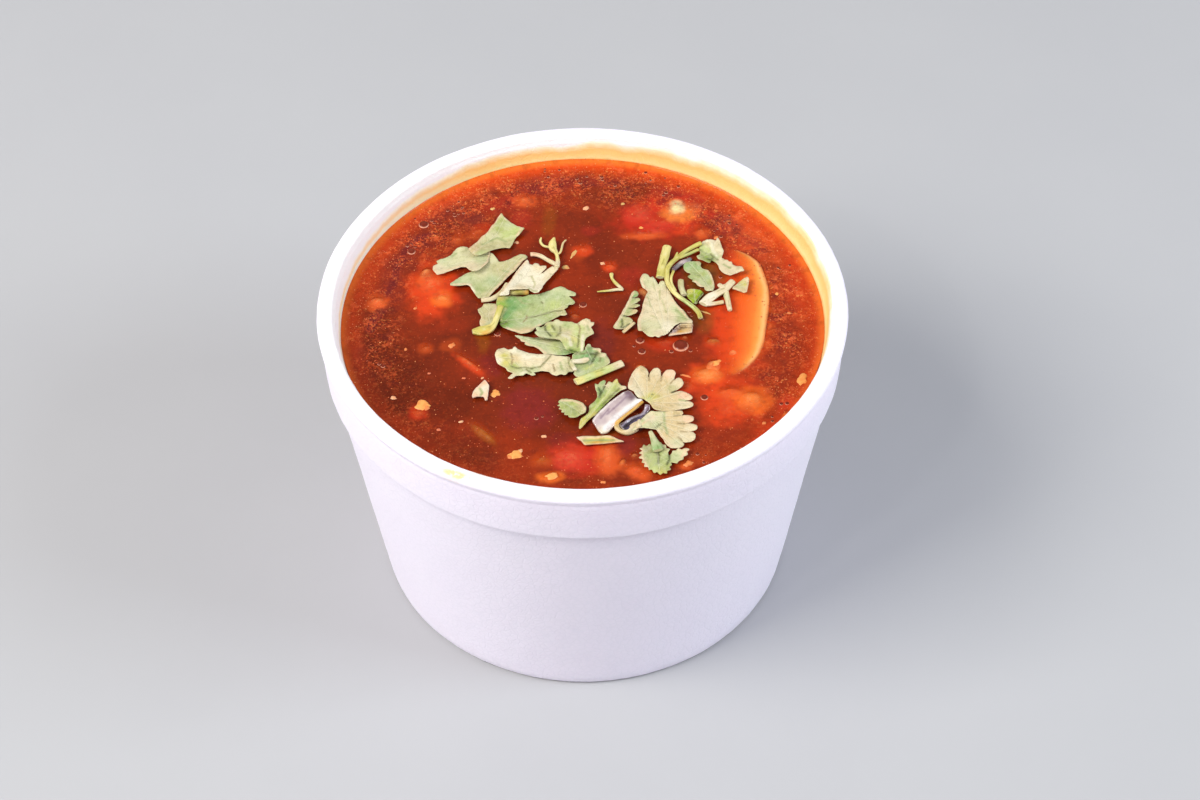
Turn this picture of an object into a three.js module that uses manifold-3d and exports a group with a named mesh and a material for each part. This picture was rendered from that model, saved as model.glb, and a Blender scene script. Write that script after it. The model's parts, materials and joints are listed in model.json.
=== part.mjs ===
// A takeaway tub of hot and sour soup, with chopped coriander, cut stalks and a few thin shreds
// floating on it. Millimetres, +Z up. The origin is the centre of the tub's base, with +X to the
// right and +Y away from the viewer.
import * as THREE from "three";
import { mergeVertices } from "three/addons/utils/BufferGeometryUtils.js";
import Module from "manifold-3d";

const wasm = await Module();
wasm.setup();

// The tub, moulded in expanded foam
const TUB_HEIGHT = 76.3;
const RIM_RADIUS = 58.5;
const RIM_INNER_RADIUS = 54.9;
const LIP_HEIGHT = 2.5;
const LIP_ROUND = 0.8;
const BAND_TOP_RADIUS = 58.1;
const BAND_FOOT_RADIUS = 57.5;
const BAND_FOOT_BELOW_RIM = 13.9;
const BAND_LEDGE = 0.5;
const STEP_RADIUS = 56.3;
const BASE_RADIUS = 47.8;
const BASE_ROUND = 1.2;
const FLOOR_THICKNESS = 3.5;
const INNER_FLOOR_RADIUS = 44.5;
const INNER_CORNER = 3.5;
const CORNER_FLAT = 1;

// The soup
const SOUP_LEVEL = 69.5;
const SOUP_EDGE_RADIUS = 53.6;
const MENISCUS_RISE = 0.6;
const MENISCUS_WIDTH = 1.6;
const FLAKE_RISE = 0.5;
const BUBBLE_RISE_PER_SIZE = 0.25;

// What floats on it
const GAP = 0.3;
const LEAF_THICKNESS = 0.35;
const LEAF_CURL = 0.25;
const LEAF_WAVE = 0.25;
const LEAF_WAVE_LENGTH = 4.6;
const LEAF_WAVE_HEADING = 31.6;
const LEAF_WAVE_BREAK = 7;
const CURL_SHARPNESS = 3;
const LOBE_ROUNDNESS = 0.6;
const STALK_FLATNESS = 0.7;
const FAN_TAIL = 0.8;
const FAN_END_ANGLE = 8;
const SHOULDER_TURN = 0.62;
const SHOULDER_REACH = 0.95;
const SIGHT_ANGLE = 46.7;

// How round things are drawn
const TUB_SEGMENTS = 80;
const ROUND_STEPS = 4;
const DOME_SIDES = 6;
const DOME_RINGS = 4;
const LEAF_RINGS = [0, 0.55, 1];
const POINTS_A_LOBE = 3;
const POINTS_A_BOW = 3;
const STALK_SIDES = 8;
const STALK_STEP = 1.6;

const PI = Math.PI;

// Profiles and solids

// A quarter round from angle a to angle b, as profile points.
function quarterRound(x, y, radius, a, b) {
  const points = [];
  for (let i = 0; i <= ROUND_STEPS; i++) {
    const angle = a + ((b - a) * i) / ROUND_STEPS;
    points.push(new THREE.Vector2(x + radius * Math.cos(angle), y + radius * Math.sin(angle)));
  }
  return points;
}

function point(x, y) {
  return new THREE.Vector2(x, y);
}

// Spins a profile of radius and height round the vertical axis.
function turned(profile) {
  return new THREE.LatheGeometry(profile, TUB_SEGMENTS).rotateX(PI / 2);
}

function asSolid(geometry) {
  const bare = geometry.clone();
  bare.deleteAttribute("normal");
  bare.deleteAttribute("uv");
  const merged = mergeVertices(bare, 1e-4);
  const solidMesh = new wasm.Mesh({
    numProp: 3,
    vertProperties: merged.attributes.position.array,
    triVerts: new Uint32Array(merged.index.array),
  });
  return new wasm.Manifold(solidMesh);
}

// Joins closed geometries that run into each other.
function joined(geometries) {
  const solid = geometries.map(asSolid).reduce((whole, next) => whole.add(next));
  const made = solid.getMesh();
  const geometry = new THREE.BufferGeometry();
  geometry.setAttribute("position", new THREE.BufferAttribute(made.vertProperties, 3));
  geometry.setIndex(new THREE.BufferAttribute(made.triVerts, 1));
  return geometry;
}

// The tub and the soup

// The inner wall runs straight from the floor to the soup's edge, and flares a little above it.
function innerWallRadius(z) {
  const foot = FLOOR_THICKNESS;
  if (z <= SOUP_LEVEL) {
    const part = (z - foot) / (SOUP_LEVEL - foot);
    return INNER_FLOOR_RADIUS + (SOUP_EDGE_RADIUS - INNER_FLOOR_RADIUS) * part;
  }
  const part = (z - SOUP_LEVEL) / (TUB_HEIGHT - SOUP_LEVEL);
  return SOUP_EDGE_RADIUS + (RIM_INNER_RADIUS - SOUP_EDGE_RADIUS) * part;
}

function tubGeometry() {
  const lipFoot = TUB_HEIGHT - LIP_HEIGHT;
  const bandFoot = TUB_HEIGHT - BAND_FOOT_BELOW_RIM;
  const lipUnderside = lipFoot + LIP_ROUND / 2;
  return turned([
    point(0, 0),
    point(BASE_RADIUS - BASE_ROUND, 0),
    point(BASE_RADIUS, BASE_ROUND),
    point(STEP_RADIUS, bandFoot),
    point(BAND_FOOT_RADIUS, bandFoot + BAND_LEDGE),
    point(BAND_TOP_RADIUS, lipFoot),
    point(RIM_RADIUS, lipUnderside),
    ...quarterRound(RIM_RADIUS - LIP_ROUND, TUB_HEIGHT - LIP_ROUND, LIP_ROUND, 0, PI / 2),
    ...quarterRound(RIM_INNER_RADIUS + LIP_ROUND, TUB_HEIGHT - LIP_ROUND, LIP_ROUND, PI / 2, PI),
    point(innerWallRadius(SOUP_LEVEL), SOUP_LEVEL),
    point(innerWallRadius(FLOOR_THICKNESS + INNER_CORNER), FLOOR_THICKNESS + INNER_CORNER),
    point(INNER_FLOOR_RADIUS - CORNER_FLAT, FLOOR_THICKNESS + CORNER_FLAT),
    point(INNER_FLOOR_RADIUS - INNER_CORNER, FLOOR_THICKNESS),
    point(0, FLOOR_THICKNESS),
  ]);
}

// Bits of egg, pepper and tofu at the surface: x, y, length, width, heading in degrees.
const FLAKES = [
  [-34.6, -24.7, 3.6, 2.6, 30],
  [-14.6, -39.4, 3.4, 2.4, 25],
  [-6.8, -45.6, 3.0, 1.8, 8],
  [47.6, -18.4, 3.4, 2.2, 75],
  [-19.0, -21.5, 2.2, 1.9, 60],
  [-28.9, -6.9, 2.0, 1.5, 40],
  [1.1, 37.3, 1.7, 1.3, 20],
  [29.2, -13.0, 2.2, 1.5, 35],
  [-3.8, 17.6, 1.7, 1.3, 0],
  [-1.9, 21.9, 3.2, 1.2, 58],
  [-15.0, 25.9, 1.3, 1.1, 0],
  [-8.5, -34.4, 1.2, 0.9, 10],
  [4.6, 18.7, 1.2, 1.1, 0],
  [22.0, -42.6, 2.4, 1.6, 35],
  [-41.0, -22.6, 1.6, 1.1, 150],
];

// Air bubbles at the surface: x, y, diameter.
const BUBBLES = [
  [21.5, -7.9, 3.6],
  [12.6, -6.1, 2.0],
  [12.9, -9.5, 1.8],
  [0.1, 5.3, 1.8],
  [26.1, -23.6, 1.7],
  [-18.9, -3.6, 1.5],
  [-36.4, 32.1, 2.4],
  [-38.9, 23.1, 1.9],
];

// A low dome that stands out of the surface and reaches into the soup.
function dome(x, y, length, width, heading, rise) {
  return new THREE.SphereGeometry(1, DOME_SIDES, DOME_RINGS)
    .rotateX(PI / 2)
    .scale(length / 2, width / 2, rise)
    .rotateZ(THREE.MathUtils.degToRad(heading))
    .translate(x, y, SOUP_LEVEL);
}

function soupGeometry() {
  const foot = FLOOR_THICKNESS + GAP;
  const cornerTop = foot + INNER_CORNER;
  const edgeTop = SOUP_LEVEL + MENISCUS_RISE;
  const body = turned([
    point(0, foot),
    point(INNER_FLOOR_RADIUS - INNER_CORNER, foot),
    point(INNER_FLOOR_RADIUS - CORNER_FLAT - GAP, foot + CORNER_FLAT),
    point(innerWallRadius(cornerTop) - GAP, cornerTop),
    point(innerWallRadius(edgeTop) - GAP, edgeTop),
    point(innerWallRadius(edgeTop) - GAP - MENISCUS_WIDTH / 3, SOUP_LEVEL + MENISCUS_RISE / 3),
    point(innerWallRadius(edgeTop) - GAP - MENISCUS_WIDTH, SOUP_LEVEL),
    point(0, SOUP_LEVEL),
  ]);
  const flakes = FLAKES.map(([x, y, length, width, heading]) =>
    dome(x, y, length, width, heading, FLAKE_RISE),
  );
  const bubbles = BUBBLES.map(([x, y, size]) =>
    dome(x, y, size, size, 0, size * BUBBLE_RISE_PER_SIZE),
  );
  return joined([body, ...flakes, ...bubbles]);
}

// The pile

// How high the soup and the pieces laid so far reach, on a square grid. Each new piece is laid on
// it, and bends up over what lies under it at a gentle slope.
const PILE_REACH = 50;
const PILE_CELL = 0.5;
const PILE_SLOPE = 0.6;
const PILE_SPREAD = 1.3;
const PILE_SIDE = Math.round((2 * PILE_REACH) / PILE_CELL) + 1;
const pile = new Float64Array(PILE_SIDE * PILE_SIDE).fill(SOUP_LEVEL);

function pileIndex(distance) {
  return Math.round((distance + PILE_REACH) / PILE_CELL);
}

function pileHeight(x, y) {
  const column = pileIndex(x);
  const row = pileIndex(y);
  const cells = Math.round(PILE_SPREAD / PILE_CELL);
  let height = SOUP_LEVEL;
  for (let i = Math.max(0, row - cells); i <= Math.min(PILE_SIDE - 1, row + cells); i++) {
    for (let j = Math.max(0, column - cells); j <= Math.min(PILE_SIDE - 1, column + cells); j++) {
      const away = Math.hypot(i - row, j - column) * PILE_CELL;
      height = Math.max(height, pile[i * PILE_SIDE + j] - PILE_SLOPE * away);
    }
  }
  return height;
}

// Adds a laid piece to the pile, triangle by triangle.
function layOnPile(geometry) {
  const flat = geometry.index ? geometry.toNonIndexed() : geometry;
  const place = flat.attributes.position;
  const triangle = new THREE.Triangle();
  const weights = new THREE.Vector3();
  const spot = new THREE.Vector3();
  for (let t = 0; t < place.count; t += 3) {
    triangle.setFromAttributeAndIndices(place, t, t + 1, t + 2);
    const corners = [triangle.a, triangle.b, triangle.c];
    const heights = corners.map((corner) => corner.z);
    corners.forEach((corner) => corner.setZ(0));
    if (triangle.getArea() < 1e-6) continue;
    const xs = corners.map((corner) => pileIndex(corner.x));
    const ys = corners.map((corner) => pileIndex(corner.y));
    for (let i = Math.min(...ys); i <= Math.max(...ys); i++) {
      for (let j = Math.min(...xs); j <= Math.max(...xs); j++) {
        spot.set(j * PILE_CELL - PILE_REACH, i * PILE_CELL - PILE_REACH, 0);
        if (!triangle.containsPoint(spot)) continue;
        triangle.getBarycoord(spot, weights);
        const z = weights.x * heights[0] + weights.y * heights[1] + weights.z * heights[2];
        const cell = i * PILE_SIDE + j;
        pile[cell] = Math.max(pile[cell], z);
      }
    }
  }
}

// Leaves

// How far an edge stands out from its straight line at the part t of its length: a bow over the
// whole edge, and round lobes with a notch between each two.
function edgeOffset(t, bow, lobes, depth) {
  const lobed = lobes ? depth * Math.abs(Math.sin(PI * lobes * t)) ** LOBE_ROUNDNESS : 0;
  return bow * 4 * t * (1 - t) + lobed;
}

// The outline of a torn or cut leaf, counterclockwise. A corner is x, y, and then how the edge that
// starts there runs: its bow, its number of lobes and how deep the notches are.
function cutOutline(corners) {
  return corners.flatMap(([x, y, bow = 0, lobes = 0, depth = 0], k) => {
    const [nextX, nextY] = corners[(k + 1) % corners.length];
    const length = Math.hypot(nextX - x, nextY - y);
    const outward = point((nextY - y) / length, (x - nextX) / length);
    const pieces = lobes ? lobes * POINTS_A_LOBE : bow ? POINTS_A_BOW : 1;
    return Array.from({ length: pieces }, (_, i) => {
      const t = i / pieces;
      const stand = edgeOffset(t, bow, lobes, depth);
      return point(
        x + (nextX - x) * t + outward.x * stand,
        y + (nextY - y) * t + outward.y * stand,
      );
    });
  });
}

// The outline of a fan of round lobes that spread from one root. A lobe is its heading in degrees
// and its reach, counterclockwise, and notch is how far in the notches stop, as a part of the reach.
function fanOutline([rootX, rootY], lobes, notch) {
  const outline = [];
  const add = (heading, reach) => {
    const angle = THREE.MathUtils.degToRad(heading);
    outline.push(point(rootX + reach * Math.cos(angle), rootY + reach * Math.sin(angle)));
  };
  add((lobes[0][0] + lobes.at(-1)[0]) / 2, -FAN_TAIL);
  lobes.forEach(([heading, reach], k) => {
    const before = k ? (heading - lobes[k - 1][0]) / 2 : FAN_END_ANGLE;
    const after = k < lobes.length - 1 ? (lobes[k + 1][0] - heading) / 2 : FAN_END_ANGLE;
    if (k) add(heading - before, notch * Math.min(reach, lobes[k - 1][1]));
    add(heading - SHOULDER_TURN * before, SHOULDER_REACH * reach);
    add(heading, reach);
    add(heading + SHOULDER_TURN * after, SHOULDER_REACH * reach);
  });
  return outline;
}

// A leaf is a thin disc whose rim is drawn out to the outline, so that both faces are split alike.
// It lies on the pile, waves a little, and its rim curls up by curl. A ridge is a hump along a line
// from one point to another: [x, y, x, y, rise, width].
function leafGeometry({ outline, pole, curl, ridge, thickness }) {
  const under = LEAF_RINGS.map((r) => point(r, 0));
  const over = LEAF_RINGS.map((r) => point(r, 1));
  const profile = [...under, ...over.reverse()];
  const centre = pole ? point(...pole) : outline
    .reduce((sum, p) => sum.add(p), point(0, 0))
    .divideScalar(outline.length);
  const disc = new THREE.LatheGeometry(profile, outline.length);
  const place = disc.attributes.position;
  for (let i = 0; i < place.count; i++) {
    const rim = outline[Math.floor(i / profile.length) % outline.length];
    const { x: part, y: face } = profile[i % profile.length];
    const x = centre.x + (rim.x - centre.x) * part;
    const y = centre.y + (rim.y - centre.y) * part;
    const rise = waveHeight(x, y) + curl * part ** CURL_SHARPNESS + ridgeHeight(x, y, ridge);
    const z = pileHeight(x, y) + GAP + rise + face * thickness;
    place.setXYZ(i, x, y, z);
  }
  return disc;
}

function waveHeight(x, y) {
  const heading = THREE.MathUtils.degToRad(LEAF_WAVE_HEADING);
  const along = (x * Math.cos(heading) + y * Math.sin(heading)) / LEAF_WAVE_LENGTH;
  const swing = Math.sin(2 * PI * along) * Math.cos((2 * PI * y) / LEAF_WAVE_BREAK);
  return (LEAF_WAVE * (1 + swing)) / 2;
}

function ridgeHeight(x, y, ridge) {
  if (!ridge) return 0;
  const [fromX, fromY, toX, toY, rise, width] = ridge;
  const line = new THREE.Line3(new THREE.Vector3(fromX, fromY, 0), new THREE.Vector3(toX, toY, 0));
  const spot = new THREE.Vector3(x, y, 0);
  const away = line.closestPointToPoint(spot, true, new THREE.Vector3()).distanceTo(spot);
  return rise * Math.exp(-((away / width) ** 2));
}

// Stalks

// A stalk is a slightly flat tube along a smooth route on the pile. A soft one follows the pile, and
// a straight one rests on its two ends.
function stalkGeometry(route, width) {
  const half = (width * STALK_FLATNESS) / 2;
  const flatPath = new THREE.SplineCurve(route.map(([x, y]) => point(x, y)));
  const straight = route.length === 2;
  const steps = straight ? 1 : Math.ceil(flatPath.getLength() / STALK_STEP);
  const points = flatPath.getSpacedPoints(steps).map(({ x, y }) => {
    const under = [[0, 0], [half, 0], [-half, 0], [0, half], [0, -half]]
      .map(([aside, ahead]) => pileHeight(x + aside, y + ahead));
    return new THREE.Vector3(x, y, Math.max(...under) + GAP + half);
  });
  const path = new THREE.CatmullRomCurve3(points);
  const section = new THREE.Shape();
  for (let i = 0; i < STALK_SIDES; i++) {
    const angle = (2 * PI * (i + 0.5)) / STALK_SIDES;
    const corner = point(half * Math.cos(angle), (width / 2) * Math.sin(angle));
    if (i === 0) section.moveTo(corner.x, corner.y);
    else section.lineTo(corner.x, corner.y);
  }
  return new THREE.ExtrudeGeometry(section, { steps, bevelEnabled: false, extrudePath: path });
}

// Colours, as the eye sees them
const COLOURS = {
  foam: "#f4f1f4",
  soup: "#8c3520",
  sage: "#c3cda4",
  green: "#9fbd86",
  deepGreen: "#84a878",
  brightGreen: "#8fb53a",
  pale: "#e3e2c2",
  cream: "#ece2bd",
  beige: "#d9caa6",
  stalk: "#dfd98c",
  lilac: "#d3c6d2",
  dark: "#4a3648",
  white: "#efe4d4",
};

function coloured(name, geometry, colour, roughness) {
  const material = new THREE.MeshStandardMaterial({
    color: COLOURS[colour],
    roughness,
    metalness: 0,
  });
  const mesh = new THREE.Mesh(geometry, material);
  mesh.name = name;
  return mesh;
}

// The garnish, in the order it was laid. Places are millimetres from the tub's axis, where a piece
// is seen on the soup from the front at SIGHT_ANGLE. A leaf has corners, or a root and lobes. A
// stalk has a width and a route for each of its arms.
const GARNISH = [
  {
    name: "coriander_arrow_leaf",
    colour: "sage",
    corners: [
      [-13.0, 22.4],
      [-19.0, 20.0, -0.3],
      [-25.9, 16.1],
      [-29.8, 12.3, 0.3],
      [-25.6, 12.7],
      [-22.9, 7.8],
      [-20.5, 8.2],
      [-12.1, 21.0],
    ],
    pole: [-21.0, 14.6],
  },
  {
    name: "coriander_lobed_leaf",
    colour: "pale",
    corners: [
      [-26.5, 24.8, 0.3],
      [-30.2, 21.9],
      [-33.6, 19.7, -0.3, 2, 0.5],
      [-33.3, 15.8],
      [-26.5, 18.4],
      [-24.0, 16.8, 0.5],
      [-19.2, 20.2, 0.4],
      [-20.7, 23.3],
      [-25.6, 22.0],
    ],
    pole: [-26.4, 20.2],
  },
  {
    name: "coriander_square_leaf",
    colour: "sage",
    corners: [
      [-18.6, 35.9],
      [-20.2, 32.2, 0, 3, 0.3],
      [-25.9, 23.9],
      [-24.0, 21.8, -0.4],
      [-16.6, 24.4],
      [-13.5, 30.5, -0.5],
    ],
  },
  {
    name: "coriander_small_left_leaf",
    colour: "pale",
    corners: [
      [-19.2, 6.1],
      [-21.9, 6.1],
      [-23.2, 4.5, 0, 2, 0.5],
      [-22.9, -0.4],
      [-20.4, -1.4],
      [-19.4, 2.4],
    ],
  },
  {
    name: "coriander_large_leaf",
    colour: "green",
    corners: [
      [-5.0, 11.1, -0.4],
      [-16.6, 8.5],
      [-18.2, 6.4, 0.4],
      [-18.2, -0.8],
      [-13.0, -3.6, 0.3],
      [-5.8, 1.7],
      [-3.4, 2.5, -0.9],
      [-1.5, 6.0, -0.9],
      [-1.3, 8.8, -0.4],
    ],
    curl: 0.2,
  },
  {
    name: "coriander_cream_stem",
    colour: "cream",
    arms: [[1.2, [-22.5, 7.0], [-20.2, 7.5], [-18.0, 9.6], [-16.8, 12.2]]],
  },
  {
    name: "coriander_pale_underside",
    colour: "cream",
    corners: [
      [-12.4, 19.6],
      [-16.8, 12.2],
      [-16.4, 10.6],
      [-9.9, 9.4],
      [-5.5, 16.5],
      [-6.6, 17.7],
      [-9.9, 15.0],
      [-8.1, 18.0, 0, 2, 0.5],
    ],
    pole: [-11.5, 13.2],
    curl: 0.4,
  },
  {
    name: "coriander_yellow_stem",
    colour: "stalk",
    arms: [[1.4, [-18.2, 5.0], [-18.8, 2.5], [-19.7, -0.8], [-21.5, -2.7], [-24.2, -3.2]]],
  },
  {
    name: "coriander_forked_sprig",
    colour: "stalk",
    arms: [
      [1.5, [-6.1, 17.8], [-5.8, 21.0], [-6.7, 24.0], [-6.5, 27.2]],
      [0.8, [-6.8, 24.0], [-8.9, 24.9], [-9.4, 27.4]],
      [0.7, [-5.8, 21.6], [-4.8, 24.4], [-3.8, 26.7]],
      [1.0, [-6.0, 18.6], [-9.0, 20.5], [-11.9, 22.0]],
    ],
  },
  {
    name: "coriander_flat_leaf",
    colour: "green",
    corners: [
      [-3.6, -4.6],
      [-9.4, -4.5],
      [-14.9, -3.7, -0.4, 4, 0.4],
      [-8.8, -9.6],
      [-3.5, -10.3, 0.4],
    ],
    pole: [-8.0, -6.0],
  },
  {
    name: "coriander_frilly_leaf",
    colour: "pale",
    corners: [
      [0.6, 1.2, -0.4],
      [-7.6, 0.5, 0, 2, 0.4],
      [-10.7, -3.2, 0, 2, 0.4],
      [-4.5, -5.7],
      [-3.8, -9.4, 0.3],
      [0.4, -9.8],
      [0.5, -5.6],
      [2.6, -3.3, -0.6],
      [2.5, 0.0, -0.4],
    ],
    pole: [-1.5, -3.8],
    curl: 0.5,
    ridge: [-0.4, 0.2, -0.6, -8.6, 0.6, 1.6],
  },
  {
    name: "coriander_rolled_leaf",
    colour: "cream",
    corners: [
      [-15.0, -7.4, -0.5],
      [-18.9, -7.9, 0.5],
      [-18.0, -13.8],
      [-16.6, -17.1],
      [-14.6, -15.9, 0, 3, 0.4],
      [-8.4, -15.3, 0, 2, 0.6],
      [-2.6, -14.6],
      [-3.9, -11.3],
      [-9.6, -10.6, 0.3],
    ],
    pole: [-10.6, -12.6],
    ridge: [-17.6, -10.4, -4.8, -12.8, 0.9, 1.9],
  },
  {
    name: "coriander_dark_leaf",
    colour: "deepGreen",
    corners: [
      [1.2, -6.9],
      [1.0, -10.4],
      [-2.0, -11.6],
      [-1.9, -16.2],
      [0.0, -16.9],
      [5.6, -13.0, 0.3],
      [5.4, -10.7, 0, 2, 0.3],
    ],
    pole: [1.8, -12.2],
  },
  {
    name: "coriander_white_curl",
    colour: "white",
    arms: [[1.3, [-2.2, -12.1], [-0.6, -12.4], [1.3, -11.4]]],
  },
  {
    name: "stalk_centre",
    colour: "stalk",
    arms: [[1.9, [-1.4, -18.9], [8.6, -12.6]]],
  },
  {
    name: "shred_clear_slice",
    colour: "lilac",
    corners: [
      [24.2, -1.0],
      [20.4, -1.0],
      [19.4, -4.1],
      [23.8, -3.4],
    ],
  },
  {
    name: "coriander_pale_fan",
    colour: "pale",
    corners: [
      [14.0, 15.3],
      [13.3, 12.8, -0.3],
      [14.1, 7.9],
      [12.0, -0.9],
      [12.5, -3.3, 0, 3, 0.6],
      [17.7, -4.6],
      [20.1, -1.7],
      [24.2, -0.2, -0.3],
      [19.3, 9.9],
      [17.8, 12.9],
      [16.9, 11.4],
      [15.8, 14.3],
      [14.9, 13.2],
    ],
    pole: [16.6, 3.0],
    curl: 0.5,
  },
  {
    name: "coriander_fringed_leaf",
    colour: "sage",
    corners: [
      [11.2, 9.3],
      [10.3, 8.0],
      [8.3, 2.9],
      [6.8, -1.9],
      [9.1, -2.2],
      [10.8, -0.4],
      [9.7, 1.7],
      [12.1, 3.4],
      [11.1, 4.5],
      [12.6, 6.7],
    ],
    pole: [9.1, 2.5],
  },
  {
    name: "stalk_short_thin",
    colour: "cream",
    arms: [[0.8, [8.9, -3.5], [11.4, -0.6]]],
  },
  {
    name: "stalk_straight",
    colour: "stalk",
    arms: [[1.9, [19.35, 24.5], [17.65, 14.7]]],
  },
  {
    name: "shred_grey_ribbon",
    colour: "lilac",
    arms: [[0.9, [20.7, 16.4], [22.2, 18.4], [25.0, 20.2]]],
  },
  {
    name: "coriander_grey_leaf",
    colour: "deepGreen",
    corners: [
      [24.6, 19.0, 0.3],
      [22.9, 16.6],
      [23.9, 15.0],
      [23.7, 13.7],
      [25.3, 12.5],
      [27.1, 10.7],
      [27.9, 9.3],
      [29.8, 10.7, 0.2],
      [29.2, 15.1],
      [26.8, 18.9],
    ],
  },
  {
    name: "coriander_bright_leaf",
    colour: "brightGreen",
    corners: [
      [23.2, 9.7],
      [23.7, 6.8],
      [25.3, 4.8],
      [26.7, 8.3],
      [25.9, 9.8],
    ],
  },
  {
    name: "coriander_curled_leaf",
    colour: "pale",
    corners: [
      [31.0, 26.7],
      [30.3, 25.6, 0.3],
      [27.4, 25.4, 0.3],
      [26.0, 19.4],
      [28.6, 18.7],
      [31.2, 15.3],
      [33.3, 14.3],
      [36.6, 15.6],
      [35.8, 17.3],
      [31.9, 20.6, 0.3],
    ],
    pole: [30.0, 20.6],
    curl: 0.4,
  },
  {
    name: "stalk_inner",
    colour: "pale",
    arms: [[1.3, [21.8, 13.2], [21.9, 10.6], [22.4, 8.2]]],
  },
  {
    name: "stalk_looped",
    colour: "stalk",
    arms: [
      [
        1.1,
        [26.3, 24.5],
        [24.6, 22.9],
        [21.8, 20.8],
        [20.2, 18.4],
        [19.7, 15.6],
        [19.6, 12.4],
        [20.0, 9.7],
        [22.6, 7.0],
        [25.0, 3.9],
        [26.3, 0.8],
      ],
    ],
  },
  {
    name: "coriander_small_right_leaf",
    colour: "green",
    corners: [
      [36.9, 13.8],
      [33.9, 10.6],
      [36.7, 9.2],
      [37.5, 12.5],
    ],
  },
  {
    name: "stalk_pale_forked",
    colour: "cream",
    arms: [
      [1.9, [26.9, 4.6], [29.2, 8.3], [33.3, 12.6]],
      [1.1, [27.2, 5.2], [31.4, 6.0]],
      [1.3, [32.0, 11.0], [32.4, 7.4], [32.7, 3.0]],
    ],
  },
  {
    name: "twig_forked",
    colour: "white",
    arms: [
      [0.8, [3.3, 9.4], [6.5, 9.9], [9.7, 10.4]],
      [0.8, [9.0, 10.2], [7.2, 12.0], [6.5, 13.4], [6.7, 15.5]],
    ],
  },
  {
    name: "coriander_narrow_leaf",
    colour: "green",
    corners: [
      [4.6, -18.0],
      [2.4, -18.8],
      [2.8, -22.8],
      [0.8, -25.3],
      [-0.4, -29.0],
      [-0.9, -31.8],
      [2.0, -29.2],
      [4.6, -26.2],
      [8.9, -19.8],
      [7.4, -17.6],
      [5.3, -19.8],
    ],
    pole: [3.2, -24.0],
  },
  {
    name: "coriander_oval_leaf",
    colour: "sage",
    corners: [
      [-2.6, -23.2, 0.2],
      [-5.5, -23.6, 0, 2, 0.3],
      [-4.2, -27.5],
      [-1.7, -29.0, 0.5],
      [0.3, -25.2, 0.5],
    ],
  },
  {
    name: "shred_clear_slab",
    colour: "lilac",
    corners: [
      [9.9, -21.1],
      [1.9, -29.4],
      [4.1, -33.0],
      [12.4, -23.8],
    ],
    thickness: 0.9,
    curl: 0,
    ridge: [10.4, -22.6, 3.0, -30.8, 0.7, 1.2],
  },
  {
    name: "shred_dark_curl",
    colour: "dark",
    corners: [
      [13.5, -25.6],
      [9.2, -29.4],
      [8.0, -31.4],
      [9.3, -32.5],
      [12.6, -30.0],
      [14.2, -27.4],
    ],
  },
  {
    name: "coriander_beige_fan",
    colour: "beige",
    root: [13.8, -24.7],
    lobes: [
      [-28, 5.6],
      [-4, 9.9],
      [12, 9.9],
      [40, 10.3],
      [61, 10.9],
      [79, 10.6],
      [100, 10.3],
      [122, 7.6],
    ],
    notch: 0.72,
  },
  {
    name: "coriander_lower_fan",
    colour: "beige",
    root: [13.9, -29.3],
    lobes: [
      [-68, 7.5],
      [-60, 10.2],
      [-47, 11.1],
      [-31, 11.5],
      [-16, 10.7],
      [-1, 9.6],
      [13, 7.3],
    ],
    notch: 0.8,
  },
  {
    name: "stalk_small_loop",
    colour: "cream",
    arms: [[1.0, [14.6, -29.0], [12.6, -31.2], [9.8, -33.3], [7.2, -32.2], [8.2, -29.3], [12.6, -24.9]]],
  },
  {
    name: "coriander_small_three_lobe_leaf",
    colour: "green",
    corners: [
      [16.0, -37.4],
      [12.9, -37.0, 0.2],
      [11.6, -39.0],
      [13.2, -44.0],
      [15.2, -45.5],
      [17.1, -45.2, -0.2],
      [18.2, -42.6],
      [19.7, -42.2, 0.3],
      [21.7, -38.6, 0.3],
      [17.8, -39.7],
    ],
    pole: [16.0, -41.0],
  },
  {
    name: "stalk_small_leaf",
    colour: "pale",
    arms: [[1.4, [14.2, -33.4], [14.7, -35.6], [15.5, -38.4]]],
  },
  {
    name: "coriander_cut_strip",
    colour: "stalk",
    corners: [
      [5.4, -34.1],
      [-1.7, -34.4],
      [0.4, -36.7],
      [7.8, -36.0],
    ],
  },
  {
    name: "scrap_white",
    colour: "white",
    corners: [
      [-22.4, -17.9],
      [-23.9, -21.9],
      [-22.5, -21.3],
      [-21.0, -23.4],
      [-20.3, -19.7],
    ],
  },
];

// Moves a piece from where it is seen on the soup to where it lies: the higher, the nearer.
function nearerBy(spots, thickness) {
  const rest = spots.reduce((sum, [x, y]) => sum + pileHeight(x, y), 0) / spots.length;
  return (rest + GAP + thickness - SOUP_LEVEL) / Math.tan(THREE.MathUtils.degToRad(SIGHT_ANGLE));
}

function garnishGeometry(item) {
  if (item.arms) {
    const nearer = nearerBy(item.arms.flatMap(([, ...route]) => route), item.arms[0][0] / 2);
    const arms = item.arms.map(([width, ...route]) =>
      stalkGeometry(route.map(([x, y]) => [x, y - nearer]), width));
    return arms.length > 1 ? joined(arms) : arms[0];
  }
  const outline = item.corners
    ? cutOutline(item.corners)
    : fanOutline(item.root, item.lobes, item.notch);
  const { curl = LEAF_CURL, thickness = LEAF_THICKNESS } = item;
  const nearer = nearerBy(outline.map(({ x, y }) => [x, y]), thickness + curl / 2);
  outline.forEach((p) => p.setY(p.y - nearer));
  const seenPole = item.pole ?? item.root;
  const pole = seenPole && [seenPole[0], seenPole[1] - nearer];
  const ridge = item.ridge && item.ridge.map((v, k) => (k === 1 || k === 3 ? v - nearer : v));
  return leafGeometry({ outline, pole, curl, ridge, thickness });
}

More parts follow.
